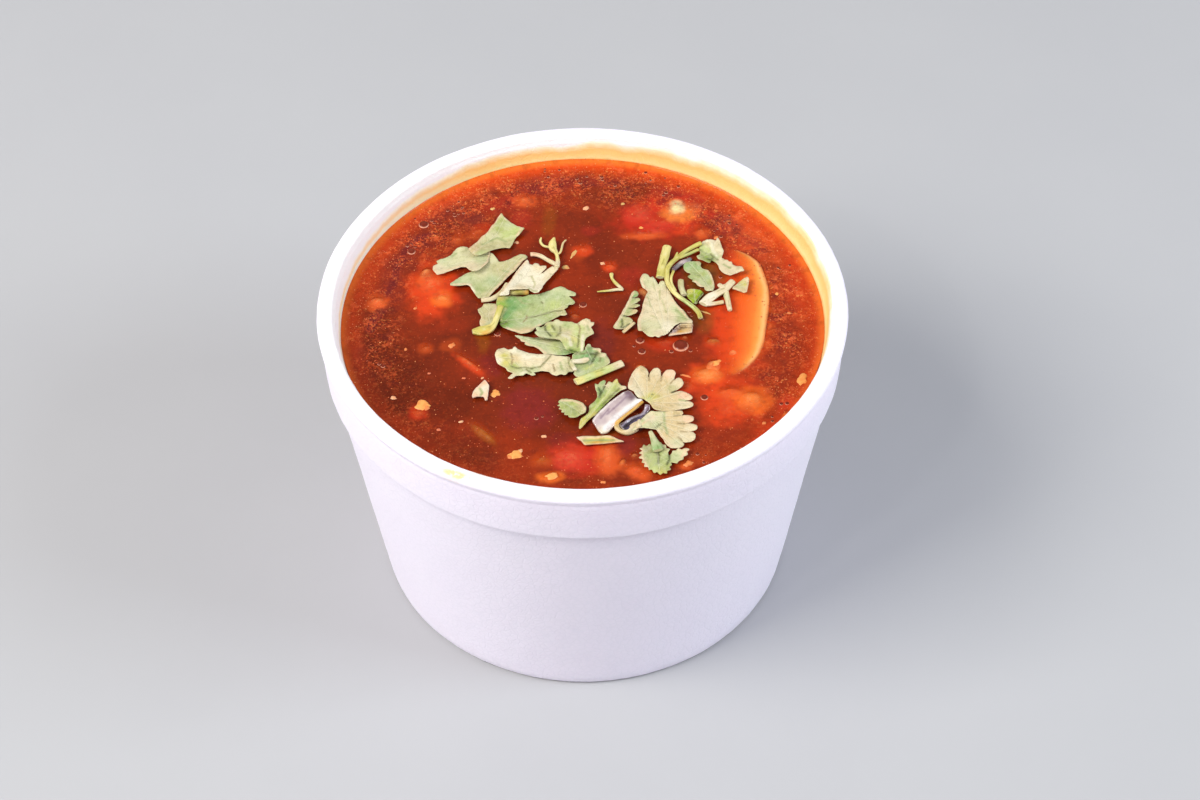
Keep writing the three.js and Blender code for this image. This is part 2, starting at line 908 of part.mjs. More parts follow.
const part = new THREE.Group();
part.add(coloured("foam_tub", tubGeometry(), "foam", 0.85));
part.add(coloured("soup", soupGeometry(), "soup", 0.15));
for (const item of GARNISH) {
  const geometry = garnishGeometry(item);
  layOnPile(geometry);
  part.add(coloured(item.name, geometry, item.colour, 0.45));
}

export default part;
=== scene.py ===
"""A foam takeaway tub of hot and sour soup, with chopped coriander floating on it."""
import json
import math
import random

import bmesh
import bpy
import numpy as np
from mathutils import Matrix, Vector, noise
from mathutils.bvhtree import BVHTree
from mathutils.geometry import delaunay_2d_cdt


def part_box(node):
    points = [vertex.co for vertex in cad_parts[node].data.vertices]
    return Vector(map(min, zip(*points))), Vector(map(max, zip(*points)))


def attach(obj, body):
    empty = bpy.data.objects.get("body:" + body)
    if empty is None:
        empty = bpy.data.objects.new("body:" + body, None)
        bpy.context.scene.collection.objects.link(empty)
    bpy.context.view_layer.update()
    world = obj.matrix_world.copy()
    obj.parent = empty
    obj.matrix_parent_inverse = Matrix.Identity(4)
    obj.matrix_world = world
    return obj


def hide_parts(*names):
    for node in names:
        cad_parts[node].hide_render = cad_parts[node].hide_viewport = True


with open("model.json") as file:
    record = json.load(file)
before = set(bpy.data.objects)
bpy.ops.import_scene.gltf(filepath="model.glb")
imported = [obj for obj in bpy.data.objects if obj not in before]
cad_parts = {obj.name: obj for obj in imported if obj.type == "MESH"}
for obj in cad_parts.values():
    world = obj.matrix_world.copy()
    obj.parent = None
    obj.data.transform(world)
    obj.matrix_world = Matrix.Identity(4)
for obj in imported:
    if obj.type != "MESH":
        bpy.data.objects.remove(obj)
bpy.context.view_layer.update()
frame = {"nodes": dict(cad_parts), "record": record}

# The studio
# A plain pale sheet lies under the tub and sweeps up far behind it on every side. A soft box high
# at the viewer's left is the main light, a cool one fills in from the right, a faint one lights
# the front, and a small lamp puts glints on what is wet.
MM = 0.001
STUDIO_LIGHT = 1.3


def paint(red, green, blue):
    """The paint that shows as this colour, 0 to 255, in the studio's light."""
    parts = [c / 255 for c in (red, green, blue)]
    parts = [((c + 0.055) / 1.055) ** 2.4 if c > 0.04 else c / 12.92 for c in parts]
    return tuple(c / STUDIO_LIGHT for c in parts) + (1.0,)


def mesh_piece(name, points, faces):
    """A smooth mesh object from points in millimetres."""
    mesh = bpy.data.meshes.new(name)
    points = (np.asarray(points, float) * MM).tolist()
    mesh.from_pydata(points, [], [list(map(int, face)) for face in faces])
    mesh.update()
    mesh.shade_smooth()
    piece = bpy.data.objects.new(name, mesh)
    bpy.context.scene.collection.objects.link(piece)
    return piece


class Finish:
    """A material on one Principled shader, whose nodes are added by short calls."""

    def __init__(self, name, roughness, specular):
        self.material = bpy.data.materials.new(name)
        self.material.use_nodes = True
        self.tree = self.material.node_tree
        self.shader = self.tree.nodes["Principled BSDF"]
        self.shader.inputs["Roughness"].default_value = roughness
        self.shader.inputs["Specular IOR Level"].default_value = specular

    def feed(self, socket, value):
        if isinstance(value, bpy.types.NodeSocket):
            self.tree.links.new(value, socket)
        else:
            socket.default_value = value

    def add(self, kind, inputs, output=0, **settings):
        node = self.tree.nodes.new("ShaderNode" + kind)
        for setting, value in settings.items():
            setattr(node, setting, value)
        for socket, value in inputs.items():
            self.feed(node.inputs[socket], value)
        return node.outputs[output]

    def place(self):
        return self.add("TexCoord", {}, "Object")

    def marked(self, name, output="Fac"):
        return self.add("Attribute", {}, output, attribute_name=name)

    def noise(self, size, detail, roughness=0.5, where=None):
        """Soft noise whose lumps are about size millimetres across."""
        return self.add("TexNoise", {
            "Vector": where or self.place(),
            "Scale": 1000 / size,
            "Detail": detail,
            "Roughness": roughness,
        }, "Fac")

    def cells(self, size):
        """How far it is to the border between cells that are about size millimetres apart."""
        return self.add("TexVoronoi", {
            "Vector": self.place(),
            "Scale": 1000 / size,
        }, "Distance", feature="DISTANCE_TO_EDGE")

    def sums(self, operation, *values):
        return self.add("Math", dict(enumerate(values)), operation=operation)

    def fade(self, value, low, high, start=0.0, end=1.0):
        """Runs smoothly from start to end as value goes from low to high."""
        return self.add("MapRange", {0: value, 1: low, 2: high, 3: start, 4: end},
                        interpolation_type="SMOOTHSTEP")

    def mix(self, amount, first, second, blend="MIX"):
        return self.add("Mix", {0: amount, 6: first, 7: second}, 2,
                        data_type="RGBA", blend_type=blend)

    def ramp(self, value, stops):
        """Colours along a value: each stop is where it stands and its colour."""
        node = self.tree.nodes.new("ShaderNodeValToRGB")
        bar = node.color_ramp.elements
        while len(bar) < len(stops):
            bar.new(0.5)
        for element, (where, colour) in zip(bar, stops):
            element.position = where
            element.color = paint(*colour)
        self.feed(node.inputs[0], value)
        return node.outputs[0]

    def bump(self, height, distance, strength=1.0, under=None):
        """Relief whose full height is distance millimetres."""
        inputs = {"Height": height, "Distance": distance * MM, "Strength": strength}
        if under:
            inputs["Normal"] = under
        return self.add("Bump", inputs)

    def colour(self, value):
        self.feed(self.shader.inputs["Base Color"], value)

    def set(self, socket, value):
        self.feed(self.shader.inputs[socket], value)


TABLE_RADIUS = 1500
TABLE_GAP = 0.05
SWEEP_RADIUS = 500
SWEEP_TOP = 1100
TABLE_SIDES = 96


def lathe(profile, sides):
    """Points and faces of a profile of (radius, height) spun round the upright axis. It starts on
    the axis, and runs outwards underneath, up, and back over the top."""
    angles = 2 * np.pi * np.arange(sides) / sides
    closed = profile[-1][0] == 0
    rings = np.array(profile[1:-1] if closed else profile[1:])
    across, up = rings[:, 0], rings[:, 1]
    points = np.stack([
        np.outer(across, np.cos(angles)),
        np.outer(across, np.sin(angles)),
        np.repeat(up[:, None], sides, axis=1),
    ], axis=-1).reshape(-1, 3)
    faces = []
    for ring in range(len(rings) - 1):
        for k in range(sides):
            a, b = ring * sides + k, ring * sides + (k + 1) % sides
            faces.append((a, b, b + sides, a + sides))
    foot = len(points)
    points = np.vstack([points, [0, 0, profile[0][1]]])
    faces += [(foot, (k + 1) % sides, k) for k in range(sides)]
    if closed:
        last = (len(rings) - 1) * sides
        points = np.vstack([points, [0, 0, profile[-1][1]]])
        faces += [(foot + 1, last + k, last + (k + 1) % sides) for k in range(sides)]
    return points, faces


def arc(centre, radius, first, last, steps):
    """Profile points on a quarter round or part of one, between two angles in degrees."""
    angles = np.radians(np.linspace(first, last, steps + 1))
    return [(centre[0] + radius * math.cos(a), centre[1] + radius * math.sin(a)) for a in angles]


sheet_profile = [(0, 0), (300, 0), (900, 0), (TABLE_RADIUS, 0)]
sheet_profile += arc((TABLE_RADIUS, SWEEP_RADIUS), SWEEP_RADIUS, -90, 0, 16)[1:]
sheet_profile += [(TABLE_RADIUS + SWEEP_RADIUS, SWEEP_TOP)]
points, faces = lathe(sheet_profile, TABLE_SIDES)
points[:, 2] -= TABLE_GAP
table = mesh_piece("table_sheet", points, [f[::-1] for f in faces])
sheet_finish = Finish("pale_paper", 0.8, 0.2)
sheet_finish.colour(sheet_finish.mix(
    sheet_finish.noise(60, 3), paint(196, 196, 198), paint(202, 202, 203)))
table.data.materials.append(sheet_finish.material)

CAMERA_PLACE = (0, -408.4, 477.2)
CAMERA_DOWN = 46.683
CAMERA_TURN = 0.529
CAMERA_ROLL = 0.228
CAMERA_LENS = 77.9

camera_data = bpy.data.cameras.new("camera")
camera_data.lens = CAMERA_LENS
camera_data.sensor_width = 36
camera_data.clip_start = 0.02
camera = bpy.data.objects.new("camera", camera_data)
camera.matrix_world = (
    Matrix.Translation(Vector(CAMERA_PLACE) * MM)
    @ Matrix.Rotation(math.radians(-CAMERA_TURN), 4, "Z")
    @ Matrix.Rotation(math.radians(90 - CAMERA_DOWN), 4, "X")
    @ Matrix.Rotation(math.radians(-CAMERA_ROLL), 4, "Z")
)
bpy.context.scene.collection.objects.link(camera)
bpy.context.scene.camera = camera

# For each light, its place and its aim in metres, its width and height, its power and its colour.
SOFT_BOXES = {
    "key_box": ((-0.86, -0.40, 1.04), (0, 0, 0.05), (0.7, 0.7), 17.8, (1.0, 0.98, 0.93)),
    "front_box": ((-0.5, -1.20, 0.55), (0, 0, 0.04), (0.7, 0.4), 0.4, (1.0, 0.95, 1.0)),
    "fill_box": ((1.1, -0.25, 0.8), (0, 0, 0.05), (0.6, 0.6), 10.5, (0.83, 0.92, 1.0)),
    "glint_lamp": ((-0.5, -0.75, 1.05), (0, 0, 0.07), (0.07, 0.07), 1.0, (1.0, 1.0, 1.0)),
}
ROOM_COLOUR = (0.93, 0.93, 1.0, 1.0)
ROOM_BRIGHTNESS = 0.65

for name, (place, aim, size, watts, colour) in SOFT_BOXES.items():
    lamp = bpy.data.lights.new(name, "AREA")
    lamp.shape = "RECTANGLE"
    lamp.size, lamp.size_y = size
    lamp.energy = watts
    lamp.color = colour
    soft_box = bpy.data.objects.new(name, lamp)
    soft_box.location = place
    soft_box.rotation_euler = (Vector(aim) - Vector(place)).to_track_quat("-Z", "Y").to_euler()
    bpy.context.scene.collection.objects.link(soft_box)

world = bpy.data.worlds.new("studio")
world.use_nodes = True
world.node_tree.nodes["Background"].inputs["Color"].default_value = ROOM_COLOUR
world.node_tree.nodes["Background"].inputs["Strength"].default_value = ROOM_BRIGHTNESS
bpy.context.scene.world = world
bpy.context.scene.view_settings.view_transform = "Standard"
bpy.context.scene.view_settings.look = "None"

# Foam tub
# Beads of polystyrene are steamed together in a mould into one squat tub. It has a rounded lip, a
# stacking band under it that steps in at its foot, and a wall that tapers to a flat base.
TUB_HEIGHT = 76.3
RIM_RADIUS = 58.5
RIM_INNER_RADIUS = 54.9
LIP_HEIGHT = 2.5
BAND_TOP_RADIUS = 58.1
BAND_FOOT_RADIUS = 57.5
BAND_FOOT_BELOW_RIM = 13.9
STEP_RADIUS = 56.3
BASE_RADIUS = 47.8
FLOOR_THICKNESS = 3.5
INNER_FLOOR_RADIUS = 44.5
INNER_CORNER = 3.5
SOUP_LEVEL = 69.5
SOUP_EDGE_RADIUS = 53.6
TUB_SIDES = 420
BASE_HOLLOW = 0.6
BASE_ROUND = 1.4
BAND_ROUND = 0.6
LIP_ROUND = 1.1
# How high the oil stain stands above the soup, by direction in degrees
STAIN_HEIGHTS = [
    (-180, 2.6), (-150, 1.6), (-90, 1.0), (-40, 3.0), (-12, 6.0), (15, 8.2), (40, 7.2),
    (60, 6.2), (80, 5.4), (100, 5.1), (120, 4.9), (140, 4.3), (160, 3.4), (180, 2.6),
]


def inner_wall(z):
    """The radius of the tub's inside at a height: straight up to the soup, and flared above it."""
    if z <= SOUP_LEVEL:
        part = (z - FLOOR_THICKNESS) / (SOUP_LEVEL - FLOOR_THICKNESS)
        return INNER_FLOOR_RADIUS + (SOUP_EDGE_RADIUS - INNER_FLOOR_RADIUS) * part
    part = (z - SOUP_LEVEL) / (TUB_HEIGHT - SOUP_LEVEL)
    return SOUP_EDGE_RADIUS + (RIM_INNER_RADIUS - SOUP_EDGE_RADIUS) * part


def split(corners, step):
    """Profile points along straight runs, no more than step apart."""
    points = []
    for a, b in zip(corners, corners[1:]):
        count = max(1, math.ceil(math.dist(a, b) / step))
        points += [(a[0] + (b[0] - a[0]) * i / count, a[1] + (b[1] - a[1]) * i / count)
                   for i in range(count)]
    return points + [corners[-1]]


band_foot = TUB_HEIGHT - BAND_FOOT_BELOW_RIM
lip_foot = TUB_HEIGHT - LIP_HEIGHT
# The base, a little hollow in its middle, and the tapered wall up to the step
tub_profile = [(0, BASE_HOLLOW), (BASE_RADIUS - 6, BASE_HOLLOW), (BASE_RADIUS - 5, 0)]
tub_profile += arc((BASE_RADIUS - BASE_ROUND, BASE_ROUND), BASE_ROUND, -90, -9, 6)
tub_profile += split([(BASE_RADIUS + 0.2, 2.6), (STEP_RADIUS - 0.1, band_foot - 1.0)], 1.6)
# The band, from its rounded foot up to the groove under the lip
tub_profile += [(STEP_RADIUS + 0.15, band_foot - 0.3), (BAND_FOOT_RADIUS - 0.55, band_foot + 0.05)]
tub_profile += arc((BAND_FOOT_RADIUS - 0.55, band_foot + 0.75), BAND_ROUND, -70, 0, 5)
tub_profile += split([(BAND_FOOT_RADIUS + 0.06, band_foot + 1.2),
                      (BAND_TOP_RADIUS, lip_foot - 0.4)], 1.0)
tub_profile += [(BAND_TOP_RADIUS - 0.05, lip_foot - 0.1), (BAND_TOP_RADIUS + 0.1, lip_foot + 0.15)]
# The lip, and the inside down to the floor
tub_profile += arc((RIM_RADIUS - LIP_ROUND, TUB_HEIGHT - 1.2), LIP_ROUND, -35, 84, 10)
tub_profile += arc((RIM_INNER_RADIUS + LIP_ROUND, TUB_HEIGHT - 1.1), LIP_ROUND, 92, 186, 8)
tub_profile += split([(inner_wall(z), z) for z in (TUB_HEIGHT - 1.7, SOUP_LEVEL)], 0.3)
tub_profile += split([(inner_wall(z), z)
                      for z in (SOUP_LEVEL - 0.5, FLOOR_THICKNESS + INNER_CORNER)], 2.5)
tub_profile += arc((INNER_FLOOR_RADIUS - INNER_CORNER, FLOOR_THICKNESS + INNER_CORNER),
                   INNER_CORNER, 0, -90, 6)[1:]
tub_profile += [(20, FLOOR_THICKNESS), (0, FLOOR_THICKNESS)]
points, faces = lathe(tub_profile, TUB_SIDES)
around = np.degrees(np.arctan2(points[:, 1], points[:, 0]))
radius = np.hypot(points[:, 0], points[:, 1])
height = points[:, 2]


def lumps(places, size, seed=0.0):
    """Soft noise from -1 to 1 at each place, with lumps about size millimetres across."""
    return np.array([noise.noise(Vector((x / size + seed, y / size, z / size)))
                     for x, y, z in places])


def mark(piece, name, values):
    """Keeps a number, a place or a colour on every point, for the finish to read by its name."""
    values = np.asarray(values, np.float32)
    if values.ndim == 1:
        kind, key = "FLOAT", "value"
    elif values.shape[1] == 3:
        kind, key = "FLOAT_VECTOR", "vector"
    else:
        kind, key = "FLOAT_COLOR", "color"
    piece.data.attributes.new(name, kind, "POINT").data.foreach_set(key, values.ravel())


swell = 0.10 * lumps(points, 11) + 0.05 * lumps(points, 2.6, 30)
swell *= np.clip((radius - 30) / 10, 0, 1)
outward = np.stack([points[:, 0], points[:, 1]], 1) / np.maximum(radius, 1)[:, None]
stain_top = np.interp(around, *zip(*STAIN_HEIGHTS))
stain_top *= 1 + 0.2 * lumps(points * [1, 1, 0], 9, 5) + 0.08 * lumps(points * [1, 1, 0], 3.1, 9)
stain = np.clip(1 - (height - SOUP_LEVEL) / stain_top, 0, 1)
stain[(radius > RIM_INNER_RADIUS + 0.4) | (height < SOUP_LEVEL - 0.6)] = 0
points[:, :2] += outward * swell[:, None]
points[:, 2] += np.where(height > TUB_HEIGHT - 1.3, 0.10 * lumps(points, 14, 60), 0)
tub = mesh_piece("foam_tub_wall", points, faces)
mark(tub, "stain", stain)
# Above the band the inside of the wall is painted whiter than the outside: painted light on the
# inner wall, which the lamps leave in shade.
inside_brightened = np.clip((RIM_INNER_RADIUS + 0.9 - radius) / 0.6, 0, 1) * (height > band_foot + 2)
mark(tub, "inner", inside_brightened)
mark(tub, "gilt", np.clip(0.5 + 1.6 * np.cos(np.radians(around - 45)), 0, 1))
# Faint smears on top of the lip: for each, how strong it is, its direction and half its width in
# degrees, and its radius and half its width there.
SMEARS = [(1.7, -117.5, 3.4, 57.6, 0.65), (1.6, -112.5, 2.4, 55.1, 0.35)]
smear = np.zeros(len(points))
for strength, towards, spread, reach, width in SMEARS:
    off = ((around - towards) / spread) ** 2 + ((radius - reach) / width) ** 2
    smear += strength * np.exp(-off)
mark(tub, "smear", smear * (height > TUB_HEIGHT - 1.8))

# The stain's colours, from the clean foam above it down to the soup, at the left and at the right.
# The clean foam is the inner wall's painted light, and the pale strip just above the soup is a
# painted highlight on the wet edge.
BRIGHTENED_INSIDE = (287, 284, 284)
LEFT_STAIN_AND_SHINE = [
    (0.00, BRIGHTENED_INSIDE), (0.20, (288, 276, 262)), (0.34, (287, 252, 210)),
    (0.48, (287, 248, 200)), (0.62, (287, 276, 252)), (0.86, (287, 278, 262)),
    (0.94, (287, 262, 240)), (1.00, (266, 170, 112)),
]
RIGHT_STAIN_AND_SHINE = [
    (0.00, BRIGHTENED_INSIDE), (0.14, (287, 278, 252)), (0.30, (287, 252, 198)),
    (0.46, (287, 232, 146)), (0.62, (287, 242, 156)), (0.82, (287, 258, 182)),
    (0.93, (287, 238, 146)), (1.00, (276, 170, 90)),
]
foam = Finish("beaded_foam", 0.62, 0.28)
foam.set("Subsurface Weight", 0.45)
foam.set("Subsurface Radius", (1.0, 0.92, 0.95))
foam.set("Subsurface Scale", 5 * MM)
grain = foam.noise(0.55, 3, 0.6)
beads = foam.cells(1.5)
white = foam.mix(foam.noise(16, 2), paint(272, 263, 284), paint(277, 268, 287))
white = foam.mix(foam.fade(beads, 0.0, 0.12, 0.16, 0.0), white, paint(252, 247, 268))
unevenness = foam.sums("SUBTRACT", foam.noise(2.2, 3, 0.6), 0.5)
ragged = foam.sums("ADD", foam.marked("stain"), foam.sums(
    "MULTIPLY", unevenness, foam.fade(foam.marked("stain"), 0.0, 0.25, 0.0, 0.2)))
# The stain's colour, with the painted highlight on the wet edge just above the soup
stain_and_shine = foam.mix(
    foam.marked("gilt"), foam.ramp(ragged, LEFT_STAIN_AND_SHINE), foam.ramp(ragged, RIGHT_STAIN_AND_SHINE))
# The inner wall takes the whiter paint, as painted light
white = foam.mix(foam.marked("inner"), white, paint(*BRIGHTENED_INSIDE))
coat = foam.mix(foam.fade(ragged, 0.0, 0.16), white, stain_and_shine)
smeared = foam.sums("MULTIPLY", foam.marked("smear"), foam.fade(foam.noise(1.3, 2), 0.25, 0.55))
foam.colour(foam.mix(smeared, coat, paint(268, 230, 172)))
relief = foam.sums("ADD", foam.fade(beads, 0.0, 0.15), foam.sums("MULTIPLY", grain, 0.8))
foam.set("Normal", foam.bump(relief, 0.05, 0.7))
tub.data.materials.append(foam.material)
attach(tub, "root")
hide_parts("foam_tub")

# Bits sunk in the soup
# Soft cooked pieces hang just under the surface: one large slice with a cream rind, carrot, red
# pepper, olive-green leaf and dark tree fungus. Each is a rounded body that dips away at its edge.
# The soup is seen from this many degrees above level.
SIGHT_ANGLE = 46.7
# For each colour of flesh, the x, y, length, width and heading of its bits, how deep the top of
# each lies, and how much deeper its edge.
SUNK_BITS = {
    (255, 146, 68): [  # carrot
        (27.3, -16.9, 7.4, 5.6, 15, 0.16, 1.2), (36.4, -24.4, 6.4, 6.4, 60, 0.22, 1.5),
        (-31.3, 7.5, 4.6, 4.8, 0, 0.25, 1.5), (8.1, -42.2, 1.6, 3, -20, 0.15, 1),
        (21.4, -43.2, 2.6, 2.2, 20, 0.25, 1), (12.4, -14, 2.4, 1.4, 10, 0.12, 0.8),
        (-6.8, -46.4, 4, 2.4, 0, 0.3, 1), (43.4, -28.8, 1.6, 3, -20, 0.2, 0.9)],
    (252, 166, 96): [  # pale carrot
        (28.6, -13.4, 3.4, 2.8, 20, 0.1, 0.9), (33, -9.8, 1.8, 1.6, 0, 0.1, 0.7),
        (22.5, -5.2, 1.4, 1.2, 0, 0.1, 0.6), (22.4, 34.2, 5.4, 5.4, 0, 0.8, 1.6),
        (-35.2, 16.6, 3.4, 2.8, 40, 0.12, 1.2), (10.8, -40.1, 1.8, 1.4, 0, 0.08, 0.7),
        (33.8, 32.3, 2, 1, 20, 0.12, 0.6), (13.9, 9, 2.6, 4, 20, 0.15, 0.7)],
    (244, 116, 60): [  # cooked carrot
        (31.8, -22.4, 6.5, 4.4, 10, 0.6, 1.5), (26, 35.8, 4.6, 5, 0, 0.6, 1.4),
        (14.6, 27.7, 9.6, 2.4, 4, 0.55, 1.2), (27.5, 28.6, 2.6, 3.8, 0, 0.5, 1.2),
        (-46, 6.8, 4.6, 4.8, 90, 0.3, 1.3), (-13.1, 40, 4.4, 4.4, 0, 0.45, 1.3),
        (4.9, -40.4, 3.8, 10, 2, 0.5, 1.2), (30.6, 32.2, 1, 2, 20, 0.12, 0.6)],
    (246, 92, 46): [  # red pepper
        (31.4, -27.4, 6.5, 5.5, 20, 0.8, 1.6), (-33.8, 12.6, 8.4, 9.4, 15, 0.45, 1.6),
        (11.3, -44.6, 5.4, 4.4, -20, 0.4, 1.4), (0.3, 22.9, 3.4, 3.6, 0, 0.45, 1.2),
        (6.2, 17.4, 3.2, 3, 0, 0.35, 1.1)],
    (234, 74, 66): [  # rosy pepper
        (13.6, 34.6, 7, 7.4, 20, 0.8, 1.6), (18.4, 31.4, 7, 4.6, 10, 0.95, 1.5),
        (-3.2, -41.2, 8.4, 7.6, 20, 0.6, 1.6), (18, -7, 5.4, 3.6, 10, 0.7, 1.2)],
    (226, 100, 50): [  # onion
        (-24.8, -12.6, 8.6, 1.6, -46, 0.28, 0.7), (-1.8, 1.6, 2.6, 3, 20, 0.35, 0.9),
        (-23.6, 29.4, 4.4, 3.4, 30, 0.6, 1.2), (-28.5, 27, 3, 2.8, 0, 0.45, 1.1),
        (-34.5, -8, 2.8, 2.6, 0, 0.45, 1), (-35.4, -27.4, 3.4, 3.4, 0, 0.6, 1.1),
        (22.3, -20.4, 4.4, 5, 0, 0.6, 1.3)],
    (172, 104, 34): [  # leek
        (-21.4, -33.6, 8.4, 2.2, -48, 0.4, 0.8), (-8.7, -41.6, 4, 3.6, 20, 0.6, 1.1),
        (28.8, -6.6, 3.8, 2.8, 0, 0.25, 0.9)],
    (255, 250, 186): [  # bean curd
        (22.2, 36.8, 3.8, 4.6, 0, 0.35, 1.4)],
}


def sunk_bit(x, y, length, width, heading, depth, drop, seed):
    """A rounded lump under the surface, placed where it is seen from the front."""
    grid = bmesh.new()
    bmesh.ops.create_icosphere(grid, subdivisions=4, radius=1)
    points = np.array([v.co[:] for v in grid.verts])
    faces = [[v.index for v in f.verts] for f in grid.faces]
    grid.free()
    wobble = 1 + 0.22 * lumps(points, 0.9, seed)
    points *= wobble[:, None]
    up = points[:, 2].clip(-1, 1)
    out = np.hypot(points[:, 0], points[:, 1])
    turn = math.radians(heading)
    flat_x, flat_y = points[:, 0] * length / 2, points[:, 1] * width / 2
    z = SOUP_LEVEL - depth - drop * np.where(up > 0, np.minimum(out, 1.2) ** 2, 1.6 - 0.6 * up)
    away = (depth + drop * 0.3) / math.tan(math.radians(SIGHT_ANGLE))
    points = np.stack([
        x + flat_x * math.cos(turn) - flat_y * math.sin(turn),
        y + away + flat_x * math.sin(turn) + flat_y * math.cos(turn),
        z,
    ], 1)
    return points, faces


def gathered(parts):
    """Joins lists of points and faces into one."""
    points, faces, start = [], [], 0
    for some_points, some_faces in parts:
        points.append(some_points)
        faces += [[k + start for k in face] for face in some_faces]
        start += len(some_points)
    return np.vstack(points), faces


bits, tones = [], []
for colour, rows in SUNK_BITS.items():
    for row in rows:
        bits.append(sunk_bit(*row, seed=3.7 * len(bits)))
        tones.append(np.repeat([paint(*colour)], len(bits[-1][0]), axis=0))
points, faces = gathered(bits)
sunk_bits = mesh_piece("sunk_bits", points, faces)
mark(sunk_bits, "tone", np.vstack(tones))
flesh = Finish("cooked_vegetable", 0.5, 0.2)
fibres = flesh.noise(0.9, 3, 0.6)
flesh.colour(flesh.mix(flesh.fade(fibres, 0.35, 0.7, 0.0, 0.35), flesh.marked("tone", "Color"),
                       paint(255, 215, 140)))
flesh.set("Normal", flesh.bump(fibres, 0.15, 0.4))
sunk_bits.data.materials.append(flesh.material)
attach(sunk_bits, "root")

# The large slice's right rim all but touches the surface, and from there it slants down to the
# left. For places along the rim, from back to front, the x, the y and how wide the slice is.
SLICE_RIM = [
    (35.4, 22.6, 2.0), (38.0, 20.9, 5.0), (40.2, 18.2, 7.5), (41.2, 14.6, 8.8),
    (41.8, 10.6, 9.6), (41.9, 6.8, 10.2), (41.5, 3.0, 10.6), (41.0, 0.0, 10.6),
    (40.5, -3.2, 10.4), (40.0, -6.5, 10.0), (39.2, -9.2, 9.4), (38.0, -11.6, 8.4),
    (36.4, -14.0, 7.0), (34.4, -16.0, 5.0), (32.2, -17.3, 2.0),
]
SLICE_STEPS = 90
SLICE_ACROSS = 28
SLICE_DEPTH = 0.09
SLICE_SLANT = 0.16
SLICE_DIP = 1.5
SLICE_THICKNESS = 1.6
RIND_COLOURS = [
    (0.00, (255, 180, 106)), (0.08, (255, 206, 128)), (0.17, (255, 172, 78)),
    (0.30, (255, 144, 58)), (0.60, (252, 116, 44)), (1.00, (226, 72, 34)),
]


def smooth_route(corners, count):
    """Evenly spaced points on a smooth curve through the corners."""
    corners = np.asarray(corners, float)
    ends = np.vstack([2 * corners[0] - corners[1], corners, 2 * corners[-1] - corners[-2]])
    dense = []
    for k in range(1, len(ends) - 2):
        a, b, c, d = ends[k - 1:k + 3]
        for t in np.linspace(0, 1, 24, endpoint=False):
            dense.append(0.5 * (2 * b + (c - a) * t + (2 * a - 5 * b + 4 * c - d) * t * t
                                + (3 * b - a - 3 * c + d) * t ** 3))
    dense = np.array(dense + [ends[-2]])
    gone = np.concatenate([[0], np.cumsum(np.linalg.norm(np.diff(dense[:, :2], axis=0), axis=1))])
    at = np.linspace(0, gone[-1], count)
    return np.stack([np.interp(at, gone, dense[:, k]) for k in range(corners.shape[1])], 1)


rim = smooth_route(SLICE_RIM, SLICE_STEPS)
across = np.linspace(0, 1, SLICE_ACROSS)
dip = SLICE_DEPTH + SLICE_SLANT * across + SLICE_DIP * across ** 2.4
thick = SLICE_THICKNESS * np.sin(np.pi * np.clip(across * 0.9 + 0.1, 0, 1)) ** 0.5
top, under = [], []
for k, (x, y, width) in enumerate(rim):
    ends = 0.5 * max(0, abs(k / (SLICE_STEPS - 1) - 0.5) - 0.34) / 0.16
    inset = width * across
    away = (dip + ends) / math.tan(math.radians(SIGHT_ANGLE))
    top += list(zip(x - inset, y + away, SOUP_LEVEL - dip - ends))
    under += list(zip(x - inset, y + away, SOUP_LEVEL - dip - ends - thick - 0.2))
points = np.array(top + under)
half = len(top)
faces = []
for i in range(SLICE_STEPS - 1):
    for j in range(SLICE_ACROSS - 1):
        a = i * SLICE_ACROSS + j
        b = a + SLICE_ACROSS
        faces += [(a, b, b + 1, a + 1), (a + half, a + 1 + half, b + 1 + half, b + half)]
border = [i * SLICE_ACROSS for i in range(SLICE_STEPS)]
border += [(SLICE_STEPS - 1) * SLICE_ACROSS + j for j in range(1, SLICE_ACROSS)]
border += [i * SLICE_ACROSS + SLICE_ACROSS - 1 for i in range(SLICE_STEPS - 2, -1, -1)]
border += [j for j in range(SLICE_ACROSS - 2, 0, -1)]
faces += [(a, a + half, b + half, b) for a, b in zip(border, border[1:] + border[:1])]
slice_piece = mesh_piece("sunk_slice", points, [f[::-1] for f in faces])
mark(slice_piece, "inset", np.tile(across, 2 * SLICE_STEPS))
rind = Finish("slice_with_rind", 0.45, 0.2)
inset = rind.sums("ADD", rind.marked("inset"), rind.sums(
    "MULTIPLY", rind.sums("SUBTRACT", rind.noise(3.5, 2), 0.5), 0.12))
rind.colour(rind.ramp(inset, RIND_COLOURS))
rind.set("Normal", rind.bump(rind.noise(1.2, 3), 0.12, 0.5))
slice_piece.data.materials.append(rind.material)
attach(slice_piece, "root")

# The broth
# A thick stock, dark red-brown with chilli oil, stands 7 mm below the rim. Its top thins out over
# the bits that lie close under it, climbs the wall a little, and rises to meet each floating leaf.
BROTH_STEP = 0.42
MENISCUS_RISE = 0.8
MENISCUS_WIDTH = 0.7
CLEARNESS = 0.70
CLEAR_TO = 6.0
LEAF_PULL = 0.10
WALL_GAP = 0.03
EDGE_POINTS = 740
EDGE_RINGS = (0, 0.12, 0.26, 0.44, 0.68, 1.0, 1.4)
